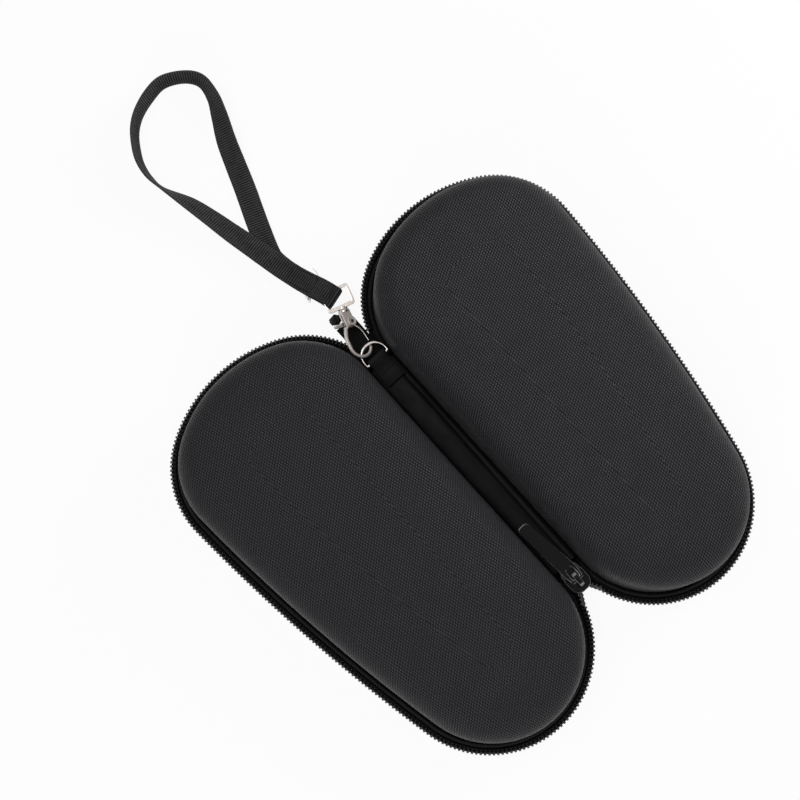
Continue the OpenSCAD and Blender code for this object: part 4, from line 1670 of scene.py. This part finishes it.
@dataclass
class Clasp:
    """The D-ring, the swivel clasp with its gate, and the strap's eye."""

    place: Point = (-1.9, 72.3, 5.8)
    turn: float = -16.0
    roll: float = 32.0
    bow: float = 5.15
    wire: float = 0.65
    ring_half: float = 5.9
    ring_y: float = 63.2
    ring_leg: float = 1.6
    ring_z: float = 4.9
    ring_r: float = 0.64
    pin: Flat = (0.9, 11.4)
    boss_r: float = 1.75
    boss_z: float = 1.28
    cheek: Flat = (0.62, 1.3)
    gate_r: float = 0.43
    gate_half: float = 0.42
    nub: Flat = (0.82, 0.88)
    guard: Flat = (-2.0, -1.0)
    eye_half: float = 0.88
    collar_r: float = 1.95
    collar_y: float = 17.85

    def matrix(self, roll: Optional[float] = None) -> Matrix:
        """Returns the matrix from the clasp's own frame."""
        lean = self.roll if roll is None else roll
        return Matrix.Translation(self.place) @ Matrix.Rotation(
            math.radians(self.turn), 4, "Z") @ Matrix.Rotation(math.radians(lean), 4, "Y")

    def shown(self, shaper: Shaper, name: str, bm: bmesh.types.BMesh, finish: Finish, body: str,
              nodes: Iterable[str] = (),
              slot: str = "plated_metal", roll: Optional[float] = None) -> None:
        """Places a mesh made in the clasp's own frame and shows it.

        Args:
            shaper: Makes the pieces.
            name: The piece's name.
            bm: The mesh.
            finish: Its finish.
            body: The body it rides on.
            nodes: The CAD nodes it stands for.
            slot: Its material slot.
            roll: Its roll in degrees, where it is not the clasp's.
        """
        bmesh.ops.transform(bm, matrix=self.matrix(roll), verts=bm.verts)
        shaper.piece(name, bm, finish, body, slot, crease=38, nodes=nodes)

    def build(self, shaper: Shaper) -> None:
        """Makes the ring, hook, gate, pin, spring and eye.

        Args:
            shaper: Makes the pieces.
        """
        self.ring(shaper)
        self.hook(shaper)
        self.pivot(shaper)
        self.gate(shaper)
        self.eye(shaper)

    def ring(self, shaper: Shaper) -> None:
        """Makes the wire D-ring.

        Args:
            shaper: Makes the pieces.
        """
        half, low, leg = self.ring_half, self.ring_y, self.ring_leg
        line = [(half * (k / 6 - 1), low) for k in range(13)]
        line += [(half, low + leg * k / 3) for k in (1, 2)]
        line += [(half * math.cos(a), low + leg + half * math.sin(a)) for a in fan(40, math.pi, True)]
        line += [(-half, low + leg * k / 3) for k in (2, 1)]
        bm = shaper.strand([Vector((x, y, self.ring_z)) for x, y in line], self.ring_r, self.ring_r, 12,
                           loop=True)
        shaper.piece("wire_ring", bm, METAL, "ring", "plated_metal", nodes=("d_ring",))

    def hook(self, shaper: Shaper) -> None:
        """Makes the bow, arm and body as one casting.

        Args:
            shaper: Makes the pieces.
        """
        line = [Vector((self.bow * math.cos(a), self.bow * math.sin(a), 0))
                for a in fan(36, -math.pi, True)]
        arm = ((0, 1.2), (0, 2.6), (0, 4.0), (0.45, 5.6), (1.25, 7.4), (2.2, 9.2))
        line += [Vector((x - self.bow, y, 0)) for x, y in arm]

        def section(t: float, j: int) -> Flat:
            """Gives a corner of the arm's section, which grows towards the body.

            Args:
                t: The share of the way.
                j: The section's corner.

            Returns:
                The corner.
            """
            a = 2 * math.pi * j / 12
            grow = 1 + 0.12 * min(1, t * 6) + 0.45 * max(0, (t - 0.78) / 0.22)
            return (self.wire * grow * 0.93 * math.cos(a),
                    self.wire * (1 + 0.3 * max(0, (t - 0.7) / 0.3)) * math.sin(a))

        bm = shaper.tube(line, section, 12)
        body = [(-2.9, 8.6), (-2.2, 9.0), (-1.1, 9.4), (-0.3, 9.7), (0.4, 9.65), (1.3, 9.5), (2.3, 10.2),
                (2.75, 11.2), (2.7, 12.2), (2.35, 13.4), (2.3, 16.9), (1.9, 17.6), (1.2, 17.75),
                (-1.6, 17.75), (-2.3, 17.4), (-2.6, 16.4), (-2.7, 13.2), (-2.8, 11.0)]
        near, far = self.cheek
        shaper.merge(bm, shaper.plate(body, near, far, 0.34, 4))
        shaper.merge(bm, shaper.plate(body, -far, -near, 0.34, 4))
        shaper.merge(bm, shaper.plate([(-2.5, 14.9), (2.2, 14.9), (2.15, 17.5), (-2.35, 17.4)], -0.9, 0.9,
                                      0.25))
        shaper.merge(bm, shaper.plate([(-2.75, 8.7), (-0.4, 9.6), (-0.4, 9.75), (-2.7, 9.7)], -0.8, 0.8,
                                      0.2))
        self.shown(shaper, "clasp_casting", bm, CAST_PAINTED_REFLECTION, "clasp", ("clasp_hook",))

    def pivot(self, shaper: Shaper) -> None:
        """Makes the boss round the gate's rivet, the rivet and the leaf spring.

        Args:
            shaper: Makes the pieces.
        """
        x, y = self.pin
        boss = bmesh.new()
        for side in (1, -1):
            line = [Vector((x + self.boss_r * math.cos(a), y + self.boss_r * math.sin(a),
                            side * self.boss_z)) for a in fan(40)]
            shaper.strand(line, 0.36, 0.26, 8, into=boss, loop=True)
        self.shown(shaper, "clasp_boss", boss, CAST_PAINTED_REFLECTION, "clasp")
        head = [(0.02, 1.42), (0.5, 1.4), (0.85, 1.3), (1.05, 1.12), (1.05, 0.6)]
        rivet = shaper.spin(head + [(r, -z) for r, z in reversed(head)], 24, Matrix.Translation((x, y, 0)))
        self.shown(shaper, "clasp_rivet", rivet, RIVET, "clasp", ("gate_pin",))
        line = [Vector((x, 14.35 - 0.036 * (x + 0.6) ** 2, 0)) for x in (-2.1, -1.4, -0.7, 0, 0.7, 1.3)]

        def leaf(t: float, j: int) -> Flat:
            """Gives a corner of the spring's flat section."""
            return ((0.11, 0.11, -0.11, -0.11)[j % 4], (0.3, -0.3, -0.3, 0.3)[j % 4])

        spring = shaper.tube(line, leaf, 4)
        self.shown(shaper, "leaf_spring", spring, STEEL, "clasp", ("gate_spring",), slot="spring_steel")

    def gate(self, shaper: Shaper) -> None:
        """Makes the gate's wire with its lever and nub, and the guard behind the nub.

        Args:
            shaper: Makes the pieces.
        """
        wire = [Vector((x, y, 0)) for x, y in ((1.2, 10.9), (1.7, 9.7), (2.5, 8.9), (3.3, 8.0),
                                               (3.95, 6.9), (4.4, 5.6), (4.75, 3.9), (5.0, 2.2),
                                               (5.15, 1.1))]
        bm = shaper.strand(wire, self.gate_r, self.gate_r, 10)
        lever = [(2.3, 10.9), (2.1, 12.3), (0.9, 12.9), (-0.4, 12.6), (-5.2, 11.8), (-5.3, 10.3),
                 (-0.4, 10.1), (0.9, 9.9), (2.0, 10.1)]
        shaper.merge(bm, shaper.plate(lever, -self.gate_half, self.gate_half, 0.14))
        self.shown(shaper, "gate_lever", bm, METAL, "gate", ("clasp_gate",))
        wide, high = self.nub

        def rounded(t: float, j: int) -> Flat:
            """Gives a corner of the nub's section, smaller towards its ends."""
            a, size = math.pi * (2 * j + 1) / 10, 1 - 0.35 * abs(2 * t - 1) ** 6
            return (wide * math.cos(a) * size, high * math.sin(a) * size)

        line = [Vector((x, 10.95 + 0.02 * (x + 5) ** 2, 0))
                for x in (-8.2, -7.9, -7.2, -6.2, -5.2, -4.3, -3.9)]
        self.shown(shaper, "thumb_nub", shaper.tube(line, rounded, 10), CAST_PAINTED_REFLECTION, "gate")
        shape = [(-7.6, 12.6), (-4.1, 12.2), (-2.3, 13.6), (-2.3, 16.2), (-4.6, 17.2), (-7.9, 15.6),
                 (-8.2, 14.2)]
        guard = shaper.plate(shape, *self.guard, 0.3)
        for x in (-7.0, -5.75, -4.5):
            shaper.strand([Vector((x, 13.4, -1.06)), Vector((x + 0.4, 15.9, -1.06))], 0.15, 0.15, 8,
                          into=guard)
        # The guard is a wing of the casting in shade; its dark tone is painted shade.
        self.shown(shaper, "thumb_guard", guard, SHADED, "clasp")

    def eye(self, shaper: Shaper) -> None:
        """Makes the strap's eye with its turned neck.

        Args:
            shaper: Makes the pieces.
        """
        outer = mirrored([(0, 18.0), (5.2, 18.15), (6.0, 18.6), (6.3, 19.4), (6.55, 23.0), (6.6, 26.6),
                          (6.3, 27.6), (5.5, 28.0), (0, 28.05)])
        inner = mirrored([(0, 19.8), (4.6, 19.85), (5.1, 20.1), (5.2, 20.6), (5.35, 23.0), (5.4, 26.0),
                          (5.3, 26.5), (4.9, 26.7), (0, 26.72)])
        bm = shaper.frame(outer, inner, self.eye_half, 0.3)
        profile = [(0.02, 16.2), (1.9, 16.2), (1.98, 16.4), (1.9, 16.95), (1.28, 17.05), (1.28, 17.9),
                   (1.6, 18.1), (1.6, 18.6), (0.02, 18.7)]
        shaper.merge(bm, shaper.spin(profile, 28, Matrix.Rotation(math.radians(-90), 4, "X")))
        self.shown(shaper, "strap_ring_eye", bm, METAL, "eye", ("strap_eye",), roll=0)
        line = [Vector((self.collar_r * math.cos(a), self.collar_y, self.collar_r * math.sin(a) * 0.62))
                for a in fan(28)]
        collar = shaper.tube(line, oval(0.3, 0.3, 8), 8, up=Vector((0, 1, 0)), loop=True)
        self.shown(shaper, "swivel_collar", collar, METAL, "clasp", roll=0)


# The strap's middle line in millimetres with its roll in degrees: from the eye's far bar once round the loop.
ROUTE: tuple[tuple[float, float, float, float], ...] = (
    (3.63, 94.9, 5.9, 0), (3.6, 95, 4.8, 0), (3.4, 95.7, 4, 0), (2.95, 97.3, 3.9, 0), (2.2, 100, 3.9, 0),
    (1, 104, 3, 0), (-0.3, 108.5, 1.6, 0),
    (-1.9, 114, 0.9, 0), (-3.4, 120, 0.8, 0), (-4.4, 126, 0.8, 0), (-4, 131, 0.9, 0),
    (0.7, 144.2, 1.2, 4), (7, 160, 1.6, 9), (11.2, 171.5, 2.2, 16),
    (15.5, 182.9, 3, 26), (20.6, 193.6, 3.8, 42), (24, 201.9, 4.6, 58), (24.8, 210.7, 5, 70),
    (20.2, 217.2, 5.2, 79), (11.5, 221.7, 5.2, 79),
    (3, 220.9, 5.2, 77), (-6.1, 217.5, 5.2, 80), (-12.6, 212.4, 5.2, 80), (-17.7, 205, 5.2, 78),
    (-20.4, 198.8, 5.2, 77), (-21.4, 191.6, 5.2, 77),
    (-20.4, 184.3, 5.2, 77), (-15.8, 171, 4.2, 46), (-13, 160, 3.6, 33), (-10.6, 149, 3.0, 22),
    (-8.2, 139, 2.6, 12), (-6.1, 130, 2.4, 4),
    (-4.1, 121.5, 2.2, 0), (-2.2, 114.5, 2.7, 0), (-0.3, 108.5, 4.1, 0), (1, 104, 6.8, 0),
    (2.2, 100, 7.9, 0), (2.95, 97.3, 8, 0), (3.4, 95.7, 8, 0),
    (3.6, 95, 7.1, 0), (3.63, 94.9, 6.1, 0))


@dataclass(frozen=True)
class Place:
    """A place on the strap: its middle, its directions across and up, and the way so far."""

    here: Vector
    across: Vector
    up: Vector
    way: float

    def at(self, side: float, lift: float) -> Vector:
        """Returns the point off the middle by that much across and up."""
        return self.here + self.across * side + self.up * lift


@dataclass
class Strap:
    """The webbing wrist strap: one flat loop, its two ends folded round the eye and sewn together."""

    half_w: float = 4.9
    half_t: float = 0.54
    rib: float = 1.1
    per_rib: int = 4
    selvedge: float = 0.6
    stitch: Flat = (0.13, 0.1)
    row_side: float = 3.7
    row_start: float = 13.0
    stitch_step: float = 1.05
    cross_rows: Flat = (12.6, 26.0)
    places: list[Place] = field(default_factory=list)

    @staticmethod
    def stops(fine: int = 40) -> list[tuple[Vector, Vector]]:
        """Returns fine steps along a smooth curve through the route.

        Args:
            fine: Steps between two points of the route.

        Returns:
            The steps, each as its row of the route and its level sideways direction.
        """
        rows = [Vector(row) for row in ROUTE]
        last = len(rows) - 1
        runs = [rows[min(i + 1, last)] - rows[max(i - 1, 0)] for i in range(last + 1)]
        sides = [Vector((run.y, -run.x, 0)).normalized() for run in runs]
        found = []
        for i in range(last):
            a, b, c, d = rows[max(i - 1, 0)], rows[i], rows[i + 1], rows[min(i + 2, last)]
            for t in (k / fine for k in range(fine)):
                row = (2 * b + (c - a) * t + (2 * a - 5 * b + 4 * c - d) * t * t
                       + (3 * b - a - 3 * c + d) * t**3) * 0.5
                found.append((row, sides[i].lerp(sides[i + 1], t)))
        return [*found, (rows[last], sides[last])]

    def __post_init__(self) -> None:
        """Lays evenly spaced places along the route, so many to a rib."""
        stops = self.stops()
        ways = [0.0]
        for (one, _), (two, _) in zip(stops, stops[1:]):
            ways.append(ways[-1] + (two.xyz - one.xyz).length)
        count = round(ways[-1] / self.rib) * self.per_rib
        k = 0
        for n in range(count + 1):
            way = ways[-1] * n / count
            while k < len(ways) - 2 and ways[k + 1] < way:
                k += 1
            t = (way - ways[k]) / max(ways[k + 1] - ways[k], 1e-9)
            row = stops[k][0].lerp(stops[k + 1][0], t)
            side = stops[k][1].lerp(stops[k + 1][1], t)
            run = (stops[min(k + 2, len(stops) - 1)][0].xyz - stops[max(k - 1, 0)][0].xyz).normalized()
            side = (side - run * side.dot(run)).normalized()
            turned = Matrix.Rotation(math.radians(-row.w), 3, run) @ side
            self.places.append(Place(row.xyz, turned, turned.cross(run), way))

    @property
    def length(self) -> float:
        """Returns the middle line's length in millimetres."""
        return self.places[-1].way

    def near(self, back: float) -> Place:
        """Returns the place that lies so far back from the strap's end."""
        goal = self.length - back
        return min(self.places, key=lambda place: abs(place.way - goal))

    def build(self, shaper: Shaper) -> bpy.types.Object:
        """Args:
            shaper: Makes the pieces.

        Returns:
            The strap's piece.
        """
        w, t = self.half_w, self.half_t
        section = [(-w, 0), (-w + 0.12, t * 0.75), (-w + 0.5, t), (-w + 0.95, t * 0.8),
                   *((x, t * 0.92) for x in range(-3, 4)),
                   (w - 0.95, t * 0.8), (w - 0.5, t), (w - 0.12, t * 0.75)]
        section += [(-x, -z) for x, z in section]
        sides = len(section)

        def spot(i: int, j: int) -> Point:
            """Gives a point of the ribbed webbing, with firmer edges and slightly uneven.

            Args:
                i: The step along.
                j: The section's corner.

            Returns:
                The point.
            """
            place = self.places[i]
            x, z = section[j % sides]
            inner = abs(x) < w - self.selvedge
            phase = math.cos(2 * math.pi * i / self.per_rib)
            deep = 1 + (0.32 if inner else 0.12) * phase
            waver = 0.14 * noise.noise(Vector((place.way * 0.06, x * 0.05, 3.0)))
            edge = 0.07 * noise.noise(Vector((place.way * 0.5, 0.0, 7.0))) if not inner else 0.0
            end = 1 if 2 < i < len(self.places) - 3 else 0.93
            return tuple(place.at((x + math.copysign(edge, x)) * end, z * deep * end + waver * 0.25))

        def spread(i: int, j: int) -> Flat:
            """Gives the UV, with the ribs of the material on the ribs of the mesh."""
            return (i / self.per_rib * self.rib * MM, section[j % sides][0] * MM)

        bm = shaper.close(shaper.bent(len(self.places) - 1, sides, spot, spread))
        strap = shaper.piece("webbing_strap", bm, STRAP, "eye", "webbing", crease=60,
                             nodes=("wrist_strap",))
        extras = [self.sewing(shaper), self.fray(shaper)]
        path = [[x * MM for x in place.here] for place in self.places[::5]]
        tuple(path[0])
        LOG.info("strap of %.1f mm", self.length)
        return strap

    def sewing(self, shaper: Shaper) -> bpy.types.Object:
        """Makes the rows of stitches that hold the two plies together.

        Args:
            shaper: Makes the pieces.

        Returns:
            The piece.
        """
        bm = bmesh.new()
        for side in (-self.row_side, self.row_side):
            for start in (self.row_start + self.stitch_step * k for k in range(12)):
                line = [self.near(start + 0.17 * m).at(side, self.half_t + 0.08 - 0.07 * abs(m - 2))
                        for m in range(5)]
                shaper.strand(line, *self.stitch, 6, into=bm)
        for place in map(self.near, self.cross_rows):
            for start in (-3.6 + self.stitch_step * k for k in range(7)):
                line = [place.at(start + 0.2 * m, self.half_t + 0.1 - 0.08 * abs(m - 2)) for m in range(5)]
                shaper.strand(line, *self.stitch, 6, into=bm)
        return shaper.piece("strap_stitches", bm, THREAD, "eye", "webbing")

    def fray(self, shaper: Shaper) -> bpy.types.Object:
        """Makes the frayed corner beside the eye and the stray thread.

        Args:
            shaper: Makes the pieces.

        Returns:
            The piece.
        """
        bm = bmesh.new()

        def thinning(t: float, j: int) -> Flat:
            """Gives a corner of a fibre's section, thinner towards its tip."""
            r, a = 0.085 * (1 - 0.6 * t), 2 * math.pi * j / 5
            return (r * math.cos(a), r * math.sin(a))

        for k in range(26):
            share = k / 25
            start = Vector((-3.6 + 1.2 * share, 103.2 + 3.0 * share,
                            3.3 + 0.4 * noise.noise(Vector((k * 1.7, 0, 0)))))
            turn = math.radians(205 - 65 * share + 24 * noise.noise(Vector((k * 0.9, 2, 5))))
            size = 2.0 + 1.6 * abs(noise.noise(Vector((k * 2.3, 8, 1))))
            line = []
            for m in range(6):
                angle = turn + 0.25 * m / 5
                way = Vector((math.cos(angle), math.sin(angle),
                              -0.28 + 0.5 * noise.noise(Vector((k, m * 0.4, 2)))))
                line.append(start + way * size * m / 5)
            shaper.tube(line, thinning, 5, into=bm)
        stray = ((4.6, 107.6, 3.6), (5.0, 108.2, 4.3), (5.4, 109.3, 4.9), (5.5, 110.4, 5.2),
                 (5.2, 111.4, 5.3), (5.5, 112.3, 5.2))
        shaper.strand([Vector(point) for point in stray], 0.08, 0.08, 5, into=bm)
        return shaper.piece("strap_fray", bm, FRAY, "eye", "webbing")


@dataclass(frozen=True)
class Lamp:
    """A square soft light: its place, the goal it points at, its side and its power as a share of the key."""

    name: str
    place: Point
    goal: Point
    size: float
    share: float


LAMPS = (Lamp("key", (0.75, -0.05, 0.3), (0.05, 0.0, 0.02), 0.4, 1.5),
         Lamp("fill", (-0.62, -0.5, 0.34), (-0.05, 0.0, 0.02), 0.45, 1.15),
         Lamp("top", (-0.25, 0.45, 0.85), (0, 0.05, 0), 0.5, 0.9))


@dataclass
class Studio:
    """The camera, the soft lights and the white floor."""

    eye: Point = (-0.065478, -0.029787, 0.601741)
    look: Point = (0.100184, 0.120527, -0.987635)
    top: Point = (0.657195, 0.736916, 0.156676)
    lens: float = 62.92
    sensor: float = 36.0
    world: float = 0.2
    key: float = 3.4
    floor_z: float = -0.0002
    floor_half: float = 3.0
    floor_grey: float = 0.86
    floor_rough: float = 0.9
    floor_glow: float = 0.93

    def camera(self) -> None:
        """Makes the photo's camera."""
        data = bpy.data.cameras.new("camera")
        data.lens, data.sensor_width = self.lens, self.sensor
        data.clip_start, data.clip_end = 0.01, 20.0
        obj = linked("camera", data)
        back = -Vector(self.look).normalized()
        side = Vector(self.top).cross(back).normalized()
        turn = Matrix((side, back.cross(side), back)).transposed().to_4x4()
        obj.matrix_world = Matrix.Translation(self.eye) @ turn
        bpy.context.scene.camera = obj

    def light(self, lamp: Lamp) -> None:
        """Makes a lamp's light.

        Args:
            lamp: The lamp.
        """
        data = bpy.data.lights.new(lamp.name, "AREA")
        data.shape, data.size, data.energy = "SQUARE", lamp.size, self.key * lamp.share
        obj = linked(lamp.name, data)
        obj.location = lamp.place
        obj.rotation_euler = (Vector(lamp.goal) - Vector(lamp.place)).to_track_quat("-Z", "Y").to_euler()

    @staticmethod
    def white_when_seen(tree: bpy.types.NodeTree, lit: bpy.types.NodeSocket,
                        seen: bpy.types.NodeSocket) -> bpy.types.NodeSocket:
        """Adds a shader that is one thing for the light and another for the camera.

        Args:
            tree: The node tree to add to.
            lit: What light falls on and comes from.
            seen: What the camera sees straight, mirrored or through glass.

        Returns:
            The shader's output.
        """
        path = tree.nodes.new("ShaderNodeLightPath")
        mix = tree.nodes.new("ShaderNodeMixShader")
        share = path.outputs["Is Camera Ray"]
        for name in ("Is Glossy Ray", "Is Transmission Ray"):
            either = tree.nodes.new("ShaderNodeMath")
            either.operation = "MAXIMUM"
            tree.links.new(share, either.inputs[0])
            tree.links.new(path.outputs[name], either.inputs[1])
            share = either.outputs[0]
        tree.links.new(share, mix.inputs[0])
        tree.links.new(lit, mix.inputs[1])
        tree.links.new(seen, mix.inputs[2])
        return mix.outputs[0]

    def sky(self) -> None:
        """Makes the world: a dim light all round that looks white."""
        world = bpy.data.worlds.new("studio")
        bpy.context.scene.world = world
        world.use_nodes = True
        tree = world.node_tree
        lit, seen = tree.nodes["Background"], tree.nodes.new("ShaderNodeBackground")
        for node, strength in ((lit, self.world), (seen, 1.0)):
            node.inputs["Color"].default_value, node.inputs["Strength"].default_value = (
                1, 1, 1, 1), strength
        tree.links.new(self.white_when_seen(tree, lit.outputs[0], seen.outputs[0]),
                       tree.nodes["World Output"].inputs["Surface"])

    def floor(self) -> None:
        """Makes the white floor, which still takes a faint shadow."""
        bm = bmesh.new()
        bmesh.ops.create_grid(bm, x_segments=1, y_segments=1, size=self.floor_half)
        bmesh.ops.translate(bm, vec=(0, 0, self.floor_z), verts=bm.verts)
        mesh = bpy.data.meshes.new("floor")
        bm.to_mesh(mesh)
        bm.free()
        floor = linked("floor", mesh)
        material = bpy.data.materials.new("floor")
        material.use_nodes = True
        tree = material.node_tree
        plain, glow, part = tree.nodes["Principled BSDF"], tree.nodes.new(
            "ShaderNodeEmission"), tree.nodes.new("ShaderNodeMixShader")
        plain.inputs["Base Color"].default_value = (self.floor_grey, self.floor_grey, self.floor_grey, 1)
        plain.inputs["Roughness"].default_value = self.floor_rough
        glow.inputs["Strength"].default_value = 1.0
        part.inputs[0].default_value = self.floor_glow
        tree.links.new(plain.outputs[0], part.inputs[1])
        tree.links.new(glow.outputs[0], part.inputs[2])
        tree.links.new(self.white_when_seen(tree, plain.outputs[0], part.outputs[0]),
                       tree.nodes["Material Output"].inputs["Surface"])
        mesh.materials.append(material)

    def build(self) -> None:
        """Makes the world, the lamps and the floor."""
        bpy.context.scene.view_settings.view_transform = "Standard"
        self.sky()
        for lamp in LAMPS:
            self.light(lamp)
        self.floor()


def main() -> None:
    """Builds the classes in order and reports each piece."""
    logging.basicConfig(level=logging.INFO)
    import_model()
    studio = Studio()
    studio.camera()
    shaper = Shaper(Palette())
    Strap().build(shaper)
    for side in Side:
        Half(side).build(shaper)
    Inside().build(shaper)
    Spine().build(shaper)
    Slider().build(shaper)
    Clasp().build(shaper)
    studio.build()
    for piece in shaper.made:
        LOG.info("%s with %d faces", piece.name, len(piece.data.polygons))


if __name__ == "__main__":
    main()
